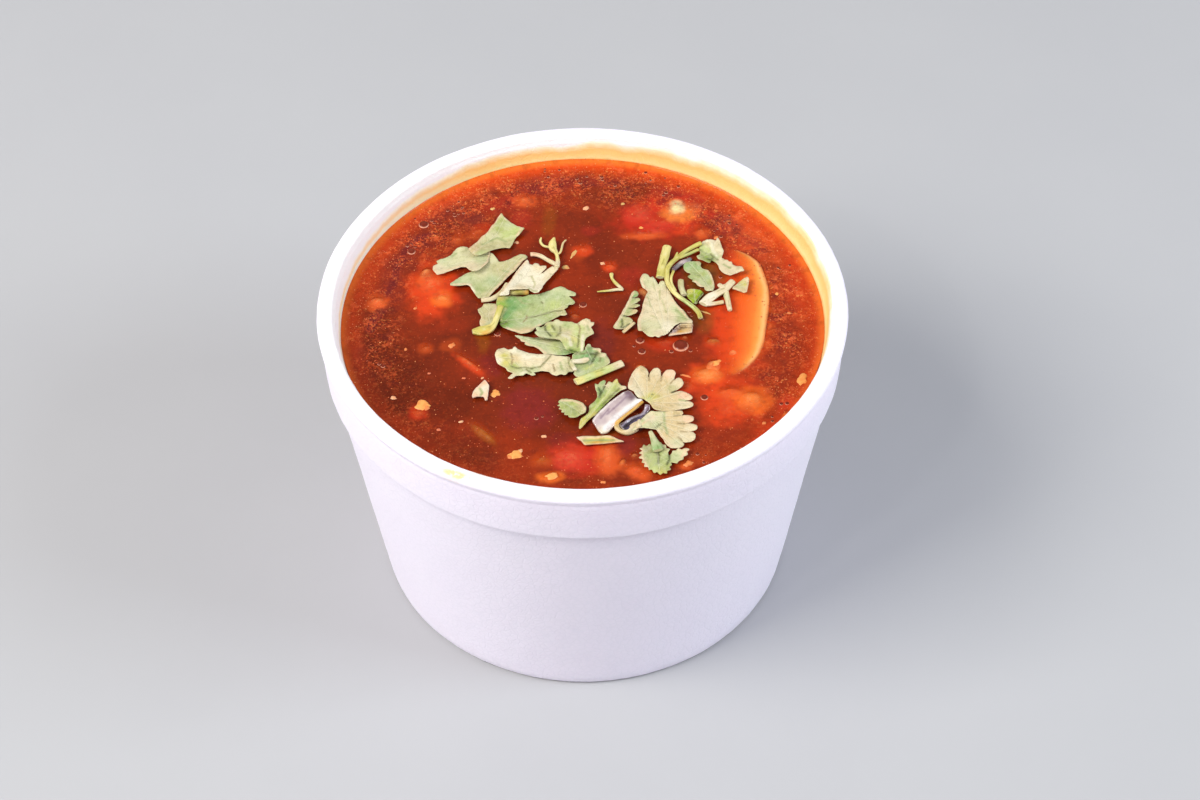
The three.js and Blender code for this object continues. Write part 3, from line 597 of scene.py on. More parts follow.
# Broad stains that show from deep in the broth, each laid over those before it: for each colour,
# the x, y, length, width, heading and strength of its stains.
GLOWS = {
    (224, 96, 56): [(39, 28, 22, 10, -53, 0.9), (-25, 43, 22, 6, 28, 0.25),
        (46, 8, 8, 26, 10, 0.5)],
    (120, 48, 30): [(-22, -12, 52, 44, 0, 0.6), (2, -22, 40, 26, 0, 0.6), (-24, 4, 8, 12, 0, 0.5),
        (6, 42, 16, 10, 0, 0.6), (-17, 23, 7, 4, 0, 0.7), (2, -18, 16, 9, 0, 0.8),
        (-24, -39, 14, 5, -20, 0.6)],
    (118, 46, 52): [(-43, 14, 6, 16, 10, 0.6), (-46, 1, 6, 8, 0, 0.6), (-41, 20, 7, 8, 0, 0.5),
        (-38, 26, 8, 8, 50, 0.5), (-34, 36, 14, 8, 40, 0.6), (-26, 34, 9, 7, 0, 0.6),
        (4, -6, 8, 14, 0, 0.6), (-47, -12, 8, 18, 10, 0.6)],
    (138, 46, 58): [(-8, 45, 18, 7, 10, 0.55), (5, 46, 10, 4, 0, 0.4), (33, 31, 12, 7, -45, 0.65),
        (39, 24, 9, 6, -45, 0.65), (8.5, -37, 6, 8, 0, 0.7), (-5, -35.5, 7, 5, 0, 0.6),
        (-12, -26, 13, 15, 0, 0.7), (-9, -29, 7, 6, 0, 0.4), (-20, -13, 6, 8, 0, 0.6)],
    (134, 52, 30): [(-30, 30, 10, 6, 30, 0.5), (-2, 30, 12, 16, 0, 0.5), (10, 20, 14, 12, 0, 0.5),
        (27, 0, 7, 9, 0, 0.85), (4, 6, 14, 9, 0, 0.5)],
    (148, 82, 28): [(-7.5, 33, 4, 12, 0, 0.55), (5.4, -33.4, 6, 4, 0, 0.6),
        (-21.4, -33.6, 9, 2.8, -48, 0.9), (-22, -5.5, 3.4, 8, 0, 0.8)],
    (156, 56, 34): [(-45, 15, 14, 34, 0, 0.4), (-30, -1, 12, 6, 0, 0.6), (30, 25, 6, 4, 0, 0.5),
        (16, 21, 6, 10, 0, 0.5), (44.6, 0, 5, 34, 0, 0.85), (47.8, -6, 5, 14, 0, 0.5),
        (42, -17, 10, 12, 0, 0.6), (27, -10, 6, 6, 0, 0.6), (26, -34, 20, 10, 15, 0.6),
        (-24, -15, 10, 7, -45, 0.6), (-30, -33, 16, 9, -20, 0.5)],
    (92, 34, 16): [(-42, -17, 17, 32, 10, 0.8), (-31, -25, 18, 16, 0, 0.6),
        (-28, -37, 20, 9, -35, 0.5), (-46, 0, 9, 18, 0, 0.6), (3, -33, 30, 14, 5, 0.3)],
    (172, 50, 48): [(-18, 39, 12, 6, 20, 0.6), (-14, 33.5, 5, 9, 0, 0.6),
        (22, 42, 14, 5, -15, 0.6), (2, 29.5, 5, 4, 0, 0.5), (11, 14.5, 6, 7, 0, 0.5)],
    (196, 60, 36): [(-22, 30.5, 6, 5, 0, 0.7), (31.5, -8, 8, 14, 0, 0.7),
        (47.8, 12, 5, 24, 0, 0.6), (22, -20.5, 6, 7, 0, 0.8), (18, -7, 9, 6, 0, 0.7),
        (40, -35, 12, 9, 40, 0.6), (-35.5, -27, 5, 5, 0, 0.8)],
    (206, 54, 42): [(19, 34, 24, 15, 8, 0.9), (0, -41, 14, 10, 0, 0.85)],
    (190, 82, 42): [(-24, 28.5, 5, 4, 0, 0.6), (-28.5, 27, 4, 4, 0, 0.7), (-1, 22, 5, 5, 0, 0.5),
        (24, -41, 8, 4, 20, 0.5), (-8.7, -41.5, 6, 5, 0, 0.6), (-29, -7, 5, 5, 0, 0.6),
        (-34.5, -8, 4, 3.6, 0, 0.7)],
    (216, 66, 64): [(13, 35, 7, 7, 30, 0.7), (18, 31, 9, 5, 0, 0.5), (44, -27, 5, 8, 0, 0.6),
        (-3, -40.5, 10, 9, 0, 0.8)],
    (228, 78, 42): [(-33.5, 10.5, 12, 20, 0, 1.0), (24, 30, 8, 5, 0, 0.6),
        (0.3, 23, 4.5, 4.5, 0, 0.75), (6.2, 17.4, 4, 3.6, 0, 0.8), (34, 3, 16, 46, 0, 0.85),
        (32, -25, 17, 15, 20, 0.9), (27, -17.5, 11, 10, 20, 0.85), (-25, -13, 10, 2.4, -45, 0.8)],
    (232, 106, 60): [(-35, 13.6, 6, 7, 0, 0.7), (-45.9, 6.8, 5.6, 5.6, 0, 0.85),
        (-13.2, 39.8, 6, 5.5, 0, 0.8), (26, 35.5, 6, 7, 0, 0.7), (14.5, 27.6, 11, 2.8, 4, 0.75),
        (27.5, 28, 4, 4, 0, 0.7), (32, -22.5, 7, 4, 0, 0.6), (21.4, -43.2, 3.6, 3, 0, 0.8),
        (11.5, -44.8, 7, 5.5, -20, 0.9), (5, -41, 6, 11, 0, 0.85)],
    (112, 84, 40): [(26.5, 12.5, 8, 14, 0, 0.75), (30.5, 15, 6, 9, 0, 0.6),
        (31.5, 9.5, 7, 4, 30, 0.6), (26.5, 0.5, 7, 9, 0, 0.5)],
    (250, 130, 60): [(-31.4, 7.4, 5.4, 5.6, 0, 0.8), (37.5, 5, 9, 34, 0, 0.6),
        (36.6, -24.6, 9, 8.5, 0, 0.85), (27.4, -16.6, 7.5, 6, 0, 0.75), (-7, -46, 6, 3.5, 0, 0.8)],
    (255, 156, 84): [(22.4, 35.4, 8, 8.5, 0, 0.9)],
    (255, 254, 232): [(22.2, 37.2, 4.2, 4.8, 0, 1.0)],
}
# Strips of dark tree fungus wind under the froth at the left: the width, colour and line of each.
STRIPS = [
    (1.3, (110, 38, 52), [(-34.4, 29.0), (-37.1, 27.9), (-40.4, 23.8), (-42.0, 17.8),
                          (-42.6, 12.0), (-44.0, 9.0)]),
    (1.7, (106, 40, 52), [(-45.2, 3.9), (-46.2, 1.6), (-47.2, -2.0)]),
]
# Froth: how thickly tiny bubbles and gold dots of oil lie, by direction in degrees. It thickens
# from the first radius to the second.
FROTH_START, FROTH_FULL = 33, 47
FROTH_AROUND = [
    (-180, 0.55), (-168, 0.40), (-150, 0.28), (-110, 0.15), (-70, 0.15), (-45, 0.25), (-25, 0.6),
    (0, 0.95), (30, 1.0), (60, 1.0), (90, 1.0), (120, 1.0), (150, 0.92), (170, 0.72), (180, 0.55),
]


def smooth_step(values, low, high):
    """Runs smoothly from 0 to 1 as the values go from low to high."""
    t = np.clip((values - low) / (high - low), 0, 1)
    return t * t * (3 - 2 * t)


def hex_field(low, high, step):
    """Points of an even triangular field between two corners."""
    places = []
    for k, y in enumerate(np.arange(low[1], high[1] + step, step * 0.866)):
        row = np.arange(low[0], high[0] + step, step) + (k % 2) * step / 2
        places.append(np.stack([row, np.full_like(row, y)], 1))
    return np.vstack(places)


def net(places, rim=(), inside_only=False):
    """Joins flat points into triangles that face up: the points and the triangles."""
    spots, _, made, _, _, _ = delaunay_2d_cdt(
        [Vector(p) for p in places], list(rim), [], int(inside_only), 1e-6)
    spots = np.array([p[:] for p in spots])
    made = np.array([t for t in made if len(t) == 3])
    a, b, c = (spots[made[:, k]] for k in range(3))
    turned = (b[:, 0] - a[:, 0]) * (c[:, 1] - a[:, 1]) < (b[:, 1] - a[:, 1]) * (c[:, 0] - a[:, 0])
    made[turned] = made[turned][:, ::-1]
    return spots, made


def skin_of(piece):
    """A piece's surface in millimetres, to find heights on."""
    return BVHTree.FromPolygons(
        [v.co / MM for v in piece.data.vertices], [p.vertices for p in piece.data.polygons])


def blurred(values, triangles, rounds):
    """Averages each point's value with its neighbours', rounds times."""
    edges = np.vstack([triangles[:, [0, 1]], triangles[:, [1, 2]], triangles[:, [2, 0]]])
    edges = np.vstack([edges, edges[:, ::-1]])
    count = np.bincount(edges[:, 0], minlength=len(values))
    for _ in range(rounds):
        around_sum = np.bincount(edges[:, 0], weights=values[edges[:, 1]], minlength=len(values))
        values = 0.5 * values + 0.5 * around_sum / np.maximum(count, 1)
    return values


def from_line(places, line, closed=False):
    """How far each place is from a line, or from a closed outline."""
    line = np.asarray(line, float)
    a = line if closed else line[:-1]
    ab = ((np.roll(line, -1, axis=0) if closed else line[1:]) - a)[None]
    ap = places[:, None] - a[None]
    t = np.clip((ap * ab).sum(2) / np.maximum((ab * ab).sum(2), 1e-12), 0, 1)
    return np.linalg.norm(ap - ab * t[..., None], axis=2).min(1)


wall = inner_wall(SOUP_LEVEL) - WALL_GAP
ring_radii = [wall - d for d in EDGE_RINGS]
edge_angles = np.linspace(0, 2 * np.pi, EDGE_POINTS, endpoint=False)
field = [np.stack([r * np.cos(edge_angles), r * np.sin(edge_angles)], 1) for r in ring_radii]
middle = hex_field((-wall, -wall), (wall, wall), BROTH_STEP)
field.append(middle[np.hypot(*middle.T) < ring_radii[-1] - 0.3])
field, triangles = net(np.vstack(field))
radius = np.hypot(*field.T)
around = np.degrees(np.arctan2(field[:, 1], field[:, 0]))
level = np.column_stack([field, field[:, 0] * 0])

# What lies close under each point, and whether a leaf floats over it
sunk_skins = [skin_of(sunk_bits), skin_of(slice_piece)]
floating = [skin_of(piece) for name, piece in frame["nodes"].items()
            if name not in ("foam_tub", "soup")]
down, upward = Vector((0, 0, -1)), Vector((0, 0, 1))
depth = np.full(len(field), 9.0)
lifted = np.zeros(len(field))
for k, (x, y) in enumerate(field):
    spot = Vector((x, y, SOUP_LEVEL + 0.05))
    for skin in sunk_skins:
        hit = skin.ray_cast(spot, down, CLEAR_TO)[3]
        if hit is not None:
            depth[k] = min(depth[k], hit)
    if abs(x) < 42 and abs(y) < 48:
        for skin in floating:
            hit = skin.ray_cast(spot, upward, 1.0)[3]
            if hit is not None and hit < 0.75:
                lifted[k] = 1
                break
cover = 1 - np.exp(-np.maximum(depth - 0.08, 0) / CLEARNESS)
cover = blurred(cover, triangles, 4)
lifted = blurred(lifted, triangles, 4)

z = SOUP_LEVEL + MENISCUS_RISE * np.exp(-(wall - radius) / MENISCUS_WIDTH)
z += LEAF_PULL * smooth_step(lifted, 0.0, 0.8)
z += 0.02 * lumps(level, 3.0) + 0.03 * lumps(level, 8.0, 21)


def lay_colour(tone, amount, colour):
    """Lays a colour over the tones, each as much as its amount."""
    return tone + amount[:, None] * (np.array(paint(*colour)) - tone)


tone = np.repeat([paint(150, 54, 28)], len(field), axis=0)
tone = lay_colour(tone, 0.8 * smooth_step(lumps(level, 9.0, 12), -0.2, 0.5), (120, 44, 26))
for colour, stains in GLOWS.items():
    for x, y, length, width, heading, strength in stains:
        turn = math.radians(heading)
        dx, dy = field[:, 0] - x, field[:, 1] - y
        along = (dx * math.cos(turn) + dy * math.sin(turn)) / (length / 2)
        aside = (dy * math.cos(turn) - dx * math.sin(turn)) / (width / 2)
        near = np.hypot(along, aside) < 2
        ragged = 0.28 * lumps(level[near], 3.0, x) + 0.12 * lumps(level[near], 1.2, y)
        amount = np.zeros(len(field))
        amount[near] = strength * smooth_step(1.25 - np.hypot(along, aside)[near] + ragged, 0, 0.8)
        tone = lay_colour(tone, amount, colour)
for width, colour, line in STRIPS:
    gap = from_line(field, line) + 0.3 * lumps(level, 3.0, width)
    tone = lay_colour(tone, 0.75 * smooth_step(1 - gap / width, 0, 0.7), colour)
thin = blurred(np.exp(-np.maximum(depth, 0) / 1.2), triangles, 5)
tone = lay_colour(tone, 0.55 * thin * (tone[:, 1] < 0.4), (236, 92, 40))
# The broth thins and brightens against the wall, most of all at the back
back = 0.5 + 0.5 * np.sin(np.radians(around + 18))
glow = smooth_step(radius, wall - 6.5, wall - 1.0)
tone = lay_colour(tone, (0.20 + 0.70 * back) * glow, (230, 84, 40))
glow = smooth_step(radius, wall - 2.2, wall - 0.2)
tone = lay_colour(tone, (0.15 + 0.8 * back) * glow, (253, 144, 72))
froth = np.interp(around, *zip(*FROTH_AROUND))
froth *= smooth_step(radius, FROTH_START, FROTH_FULL)
froth *= 1 - 0.8 * smooth_step(radius, wall - 1.8, wall - 0.3)
froth *= (0.75 + 0.6 * lumps(level, 5, 44)) * (1 - 0.9 * thin)
froth = np.clip(froth, 0, 1)

broth = mesh_piece("broth_surface", np.column_stack([field, z]), triangles)
mark(broth, "tone", tone)
mark(broth, "cover", cover)
mark(broth, "froth", froth)
mark(broth, "murk", froth * smooth_step(radius, 49.5, 45))
# What lies under the clear places is lit through the broth
broth.visible_shadow = False


def shifted(finish, shift):
    """The place on the piece, shifted so that a second pattern doesn't fall on the first."""
    return finish.add("VectorMath", {0: finish.place(), 1: (shift, shift * 0.7, 0.0)})


stock = Finish("chilli_broth", 0.08, 0.09)
froth_amount = stock.marked("froth")
# Dark and bright drifts in the broth, and murk under the froth
drifts = stock.fade(stock.noise(2.4, 4, 0.6), 0.46, 0.70, 0.0, 0.30)
body = stock.mix(drifts, stock.marked("tone", "Color"), paint(90, 32, 22))
streaks = stock.fade(stock.noise(0.8, 2), 0.52, 0.8, 0.0, 0.22)
body = stock.mix(streaks, body, paint(208, 82, 42))
shade = stock.fade(stock.noise(2.6, 3, 0.55), 0.48, 0.60, 0.0, 0.8)
body = stock.mix(stock.sums("MULTIPLY", shade, stock.marked("murk")), body, paint(98, 34, 46))
# The froth itself: fine dust, flecks and gold dots of oil, which lie in clumps
clumps = stock.fade(stock.noise(3.6, 3, 0.6), 0.40, 0.58, 0.15, 1.0)
froth_amount = stock.sums("MULTIPLY", froth_amount, clumps)
dust = stock.noise(0.45, 3, 0.7)
flecks = stock.noise(1.3, 2, 0.6, where=shifted(stock, 0.17))
gold = stock.noise(0.7, 3, 0.7, where=shifted(stock, 0.31))
for pattern, low, high, most, colour in [
        (dust, 0.49, 0.58, 0.9, (230, 104, 62)),
        (flecks, 0.54, 0.62, 0.7, (240, 122, 88)),
        (gold, 0.58, 0.65, 0.9, (250, 168, 112))]:
    amount = stock.sums("MULTIPLY", stock.fade(pattern, low, high, 0.0, most), froth_amount)
    body = stock.mix(amount, body, paint(*colour))
stock.colour(stock.mix(1.0, body, (1.0, 0.78, 0.46, 1.0), "MULTIPLY"))
stock.set("Alpha", stock.marked("cover"))
ripple = stock.bump(stock.noise(1.6, 3, 0.55), 0.05, 0.35)
pimples = stock.sums("MULTIPLY", stock.sums("ADD", dust, gold), froth_amount)
stock.set("Normal", stock.bump(pimples, 0.14, 0.6, ripple))
broth.data.materials.append(stock.material)
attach(broth, "root")
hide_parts("soup")

# The body of the broth fills the tub under the clear top and the bits
BROTH_BODY_TOP = SOUP_LEVEL - 6.5
body_profile = [(0, FLOOR_THICKNESS + 0.1)]
body_profile += [(INNER_FLOOR_RADIUS - INNER_CORNER, FLOOR_THICKNESS + 0.1)]
body_profile += arc((INNER_FLOOR_RADIUS - INNER_CORNER - 0.1, FLOOR_THICKNESS + INNER_CORNER),
                    INNER_CORNER - 0.05, -80, 0, 6)
body_profile += split([(inner_wall(10) - 0.1, 10),
                       (inner_wall(SOUP_LEVEL) - 0.12, SOUP_LEVEL - 0.3)], 4)
body_profile += [(inner_wall(SOUP_LEVEL) - 0.9, SOUP_LEVEL - 0.6)]
body_profile += [(inner_wall(BROTH_BODY_TOP) - 1.6, BROTH_BODY_TOP)]
body_profile += [(30, BROTH_BODY_TOP), (0, BROTH_BODY_TOP)]
points, faces = lathe(body_profile, 160)
broth_body = mesh_piece("broth_body", points, faces)
depths = Finish("broth_depths", 0.4, 0.2)
depths.colour(depths.mix(depths.noise(5, 3), paint(120, 42, 22), paint(160, 55, 26)))
broth_body.data.materials.append(depths.material)
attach(broth_body, "root")
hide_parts("soup")

# Coriander leaves
# Fresh coriander was chopped and scattered on the hot soup. Each torn or cut leaf is a limp, thin
# blade that lies on the broth and on the pieces under it, with a rib, side veins and a toothed
# edge.
BLADE_STEP = 0.33
BLADE_THICKNESS = 0.18
BLADE_DROP = 0.02
CRINKLE = 0.10
BLADE_GAP = 0.06
TOOTH_STEP = 0.22
VEIN_GAP = 1.9

# The tones of fresh, bruised and cooked coriander, of a leaf's pale underside, and of the shreds.
# The dark olive is painted shade, and the white on the slab's ridge is a painted glint.
TONES = {
    "milk": (250, 238, 208), "cream": (238, 219, 178), "peach": (250, 206, 168),
    "straw": (229, 202, 150), "pale": (222, 216, 166), "mist": (206, 210, 157),
    "lime": (205, 214, 136), "butter": (240, 226, 144), "celery": (216, 204, 106),
    "khaki": (207, 198, 144), "silver": (192, 202, 148), "sage": (186, 195, 130),
    "olive": (181, 188, 107), "mint": (158, 186, 119), "apple": (156, 184, 72),
    "moss": (116, 146, 36), "jade": (124, 170, 98), "spring": (160, 186, 36),
    "fern": (146, 164, 10), "gold": (228, 174, 78), "shadow_olive": (108, 98, 26),
    "lilac": (206, 184, 182), "glint_white": (254, 249, 242), "plum": (120, 90, 102),
    "slate": (140, 136, 138), "ink": (50, 38, 52),
}
# A stroke is a crease, a cut, a hem or a rib: how far it stands up, its width and its colour. The
# sunken cut, crease, notch and furrow are painted darker as shade in the groove, and the raised
# fold is painted pale as a highlight on its ridge.
STROKES_AND_PAINTED_LIGHT = {
    "cut": (-0.26, 0.5, (78, 84, 38)), "crease": (-0.20, 0.5, (124, 122, 68)),
    "notch": (-0.17, 0.4, (158, 134, 90)), "furrow": (-0.08, 0.6, (168, 176, 116)),
    "hem": (0.10, 0.6, (240, 209, 168)), "fold": (0.22, 0.8, (246, 236, 200)),
    "rib": (0.16, 0.7, (212, 216, 134)), "vein": (-0.05, 0.4, (200, 194, 138)),
}
# Each leaf, as it is seen on the soup from the front. The edge runs round the leaf, a tone has the
# places where it lies, a stroke has its line, and a lift is a place, its reach and its height. A
# blade has its rib, and a fan the root and the headings of its lobes, which are in degrees. All
# places are x and y from the tub's axis, and they and the lifts are in tenths of a millimetre.
LEAVES = {
    "coriander_arrow_leaf": dict(
        slot="leaf_sage", rib=(-218, 86, -185, 145, -133, 218),
        edge=(-207, 226, -198, 215, -192, 203, -188, 194, -176, 197, -164, 203, -152, 212,
            -140, 219, -129, 216, -123, 209, -134, 196, -143, 180, -151, 165, -164, 149, -174, 134,
            -183, 120, -195, 103, -205, 88, -209, 80, -226, 78, -233, 77, -240, 89, -248, 106,
            -254, 118, -258, 121, -269, 119, -281, 117, -297, 119, -297, 126, -288, 134, -276, 145,
            -264, 155, -255, 161, -240, 172, -224, 184, -216, 204),
        tones=dict(pale=(-224, 158, -195, 206), mist=(-260, 144), khaki=(-190, 174, -170, 192,
            -140, 210, -216, 88, -173, 158), silver=(-284, 127, -203, 135), sage=(-227, 104)),
        strokes=[("hem", -134, 202, -162, 157, -182, 127, -206, 90), ("hem", -289, 122, -264, 123,
            -250, 120), ("fold", -257, 121, -249, 110, -243, 97), ("furrow", -178, 165, -168, 161),
            ("furrow", -200, 129, -191, 129)],
        lifts=(-135, 212, 25, 5, -290, 123, 20, 3, -246, 110, 12, 3)),
    "coriander_lobed_leaf": dict(
        slot="leaf_pale", rib=(-332, 170, -270, 195, -202, 204),
        edge=(-274, 246, -260, 244, -256, 233, -244, 226, -226, 226, -210, 230, -208, 222,
            -211, 204, -213, 194, -219, 182, -226, 174, -234, 167, -245, 163, -255, 168, -262, 178,
            -274, 178, -288, 172, -302, 164, -314, 158, -327, 154, -333, 162, -338, 172, -337, 183,
            -327, 190, -330, 199, -321, 205, -310, 209, -298, 218, -292, 229, -284, 241),
        tones=dict(cream=(-324, 172, -253, 182), pale=(-274, 236, -302, 194, -270, 205, -222, 222,
            -250, 222), mist=(-230, 205, -312, 203)),
        strokes=[("furrow", -296, 213, -286, 223), ("hem", -210, 228, -212, 198, -226, 177),
            ("hem", -334, 180, -328, 160, -304, 168, -276, 181)],
        lifts=(-273, 242, 18, 4, -330, 165, 20, 4, -242, 166, 16, 3)),
    "coriander_square_leaf": dict(
        slot="leaf_sage", rib=(-246, 224, -195, 285, -175, 350),
        edge=(-185, 358, -179, 345, -169, 332, -159, 321, -148, 312, -131, 305, -136, 296,
            -141, 287, -148, 277, -154, 267, -158, 253, -164, 239, -174, 241, -186, 239, -198, 235,
            -207, 231, -217, 224, -229, 217, -243, 215, -252, 226, -259, 237, -248, 250, -238, 263,
            -231, 277, -220, 288, -213, 301, -207, 314, -199, 325, -194, 340),
        tones=dict(straw=(-244, 234), pale=(-200, 284), mist=(-170, 318), lime=(-175, 284,
            -152, 296), khaki=(-184, 349, -220, 250, -190, 250, -166, 254), sage=(-230, 223),
            olive=(-182, 334, -190, 299)),
        strokes=[("hem", -254, 236, -230, 272, -206, 310, -189, 349), ("hem", -176, 338, -136, 306,
            -149, 280), ("furrow", -226, 252, -194, 274, -172, 260)],
        lifts=(-249, 235, 20, 4, -184, 352, 20, 4, -136, 302, 18, 4)),
    "coriander_small_left_leaf": dict(
        slot="leaf_pale", rib=(-204, -10, -210, 25, -206, 60),
        edge=(-220, 60, -193, 60, -188, 48, -185, 25, -188, 6, -198, -10, -212, -13, -227, -11,
            -229, 1, -225, 18, -231, 32, -234, 42, -224, 50),
        tones=dict(cream=(-194, 28), khaki=(-228, 38, -210, 46, -212, 14), straw=(-224, 2),
            mist=(-206, -6)),
        strokes=[("hem", -192, 54, -190, 26, -198, -4)],
        lifts=(-230, 38, 12, 3)),
    "coriander_large_leaf": dict(
        slot="leaf_green", rib=(-180, 4, -130, 12, -77, 28, -34, 54),
        edge=(-165, 84, -148, 82, -134, 80, -117, 87, -98, 88, -86, 93, -72, 100, -59, 109,
            -50, 112, -42, 109, -31, 100, -21, 95, -15, 90, -14, 83, -19, 80, -30, 81, -25, 75,
            -19, 68, -16, 60, -21, 54, -31, 53, -33, 45, -42, 40, -37, 31, -34, 23, -40, 19,
            -50, 20, -59, 13, -72, 4, -79, -1, -93, -12, -105, -18, -108, -25, -114, -30,
            -127, -35, -136, -36, -150, -30, -165, -22, -177, -15, -184, -7, -184, 6, -185, 20,
            -182, 33, -180, 44, -190, 46, -193, 62, -190, 81, -176, 84),
        tones=dict(straw=(-128, -30), mist=(-52, 106, -22, 88), lime=(-64, 54), celery=(-183, 76),
            khaki=(-44, 30, -154, -24), silver=(-90, 74, -56, 84, -102, 0, -136, -6),
            sage=(-140, 26, -110, 44, -26, 64, -76, 19), mint=(-160, -12, -136, 56),
            apple=(-179, 56), moss=(-174, -3), jade=(-163, 66, -156, 44, -174, 22)),
        strokes=[("crease", -125, 14, -106, 17, -86, 25, -66, 33, -46, 35), ("notch", -124, 20,
            -125, 10, -132, 0), ("cut", -180, -6, -168, 2), ("rib", -172, 43, -180, 24, -182, 6),
            ("crease", -92, 64, -89, 59), ("hem", -168, -19, -136, -32, -116, -26, -94, -9),
            ("furrow", -146, 80, -134, 60, -110, 56)],
        lifts=(-50, 106, 25, 6, -19, 86, 15, 4, -134, -32, 25, 5, -38, 26, 12, 4,
            -184, 66, 18, 5)),
    "coriander_pale_underside": dict(
        slot="leaf_pale", rib=(-158, 106, -126, 146, -112, 186),
        edge=(-123, 200, -119, 186, -112, 183, -107, 189, -99, 187, -95, 179, -87, 180, -81, 179,
            -81, 173, -89, 161, -99, 149, -86, 159, -75, 171, -69, 178, -57, 177, -54, 169,
            -61, 158, -68, 147, -75, 136, -82, 126, -87, 117, -91, 104, -98, 93, -107, 91,
            -116, 98, -120, 105, -142, 104, -163, 103, -164, 86, -187, 84, -177, 106, -163, 129,
            -152, 153, -141, 175, -129, 194),
        tones=dict(milk=(-136, 136, -124, 172, -96, 144, -98, 114, -114, 124, -106, 98, -156, 126,
            -174, 94), cream=(-104, 178, -66, 166, -80, 140, -140, 108)),
        strokes=[("hem", -127, 192, -152, 149, -179, 98), ("furrow", -120, 106, -110, 97,
            -102, 96), ("vein", -114, 146, -106, 120, -110, 108)],
        lifts=(-124, 196, 20, 5, -86, 176, 18, 5, -94, 98, 20, 6, -60, 170, 16, 3)),
    "coriander_flat_leaf": dict(
        slot="leaf_green", rib=(-148, -43, -90, -66, -36, -86),
        edge=(-151, -41, -141, -41, -127, -45, -108, -49, -90, -48, -55, -50, -34, -62, -26, -84,
            -22, -96, -39, -103, -55, -103, -70, -100, -84, -101, -91, -91, -98, -83, -108, -76,
            -120, -74, -128, -68, -127, -62, -136, -59, -139, -52, -144, -49),
        tones=dict(mist=(-142, -46, -124, -60, -104, -64, -84, -80), lime=(-62, -78),
            pale=(-76, -96, -80, -56), silver=(-46, -74), mint=(-34, -96)),
        strokes=[("crease", -108, -51, -80, -56, -52, -59), ("hem", -138, -54, -118, -71, -96, -82,
            -82, -97)],
        lifts=(-146, -43, 16, 3, -84, -96, 16, 3)),
    "coriander_frilly_leaf": dict(
        slot="leaf_pale", rib=(-86, -30, -35, -35, 2, -60, -4, -96),
        edge=(-103, -13, -104, -22, -100, -26, -107, -33, -102, -41, -96, -47, -79, -53, -62, -54,
            -50, -57, -45, -65, -42, -76, -35, -89, -23, -97, -8, -101, 1, -95, 3, -80, 4, -61,
            8, -51, 16, -44, 25, -39, 24, -32, 21, -25, 18, -18, 24, -10, 26, -2, 18, -2, 16, 5,
            8, 9, 0, 5, -8, -2, -13, -7, -24, -1, -39, 1, -50, 2, -54, 6, -61, 6, -66, 0, -77, 0,
            -83, -7, -85, -13, -92, -18),
        tones=dict(cream=(-34, -36, 4, -6, 17, -13), pale=(-56, -2, 16, -34), mist=(-98, -20,
            -94, -36, -82, -46), lime=(-36, -74, -12, -38, -14, -82, 0, -66, -6, -18),
            butter=(-24, -54), khaki=(-78, -6, -46, -26), sage=(-36, -12), olive=(-74, -16,
            -64, -32), apple=(1, -90), moss=(-23, -92)),
        strokes=[("cut", -84, -12, -82, -28, -70, -45), ("crease", -50, -16, -49, -34, -58, -46),
            ("rib", -74, -10, -69, -26, -62, -40), ("crease", -68, -12, -62, -26), ("fold", 0, -44,
            -2, -68, -2, -93), ("crease", -9, -42, -10, -66, -12, -80), ("fold", -44, -42,
            -30, -50, -26, -74), ("cut", -30, -88, -20, -93, -6, -98, 1, -94), ("notch", -10, -6,
            -6, -22, -8, -38), ("cut", -94, -50, -74, -54, -52, -58), ("furrow", 10, -14,
            13, -28)],
        lifts=(10, 4, 14, 5, 22, -34, 12, 4, -68, -22, 18, 5, -2, -70, 12, 4, -102, -32, 12, 3,
            -56, 2, 10, 3)),
    "coriander_rolled_leaf": dict(
        slot="leaf_pale", rib=(-180, -108, -110, -120, -40, -134),
        edge=(-150, -75, -143, -84, -129, -91, -117, -97, -98, -100, -84, -100, -70, -102,
            -55, -106, -36, -108, -28, -110, -29, -122, -25, -137, -21, -154, -31, -154, -40, -164,
            -50, -161, -58, -166, -67, -162, -74, -154, -89, -151, -108, -154, -103, -162,
            -112, -165, -124, -157, -131, -164, -146, -164, -155, -174, -164, -172, -159, -164,
            -153, -156, -165, -150, -170, -140, -179, -134, -187, -126, -191, -113, -193, -99,
            -188, -84, -173, -79, -165, -85, -155, -83),
        tones=dict(milk=(-184, -118, -152, -86, -124, -106), cream=(-182, -90, -102, -116,
            -120, -128, -86, -124, -72, -142, -54, -120, -158, -166), straw=(-148, -114),
            pale=(-40, -148, -34, -124), mist=(-130, -154, -108, -148), celery=(-172, -104,
            -170, -124), olive=(-152, -136)),
        strokes=[("crease", -156, -136, -144, -142, -126, -139, -112, -144), ("crease", -71, -106,
            -80, -120, -93, -138, -110, -142), ("notch", -32, -112, -30, -130, -26, -144),
            ("fold", -150, -86, -130, -100, -100, -108, -84, -108), ("notch", -158, -96,
            -154, -114, -156, -130), ("fold", -126, -152, -134, -158), ("crease", -124, -146,
            -114, -156), ("notch", -66, -130, -62, -152), ("furrow", -50, -126, -46, -148)],
        lifts=(-152, -80, 16, 6, -186, -90, 18, 6, -120, -106, 24, 3, -50, -156, 16, 4,
            -158, -170, 12, 4)),
    "coriander_dark_leaf": dict(
        slot="leaf_green", rib=(6, -84, 18, -118, 10, -158),
        edge=(6, -78, 11, -70, 16, -71, 18, -80, 26, -83, 36, -83, 40, -88, 39, -97, 50, -99,
            52, -108, 55, -113, 58, -120, 58, -129, 52, -136, 26, -152, 0, -168, -6, -170,
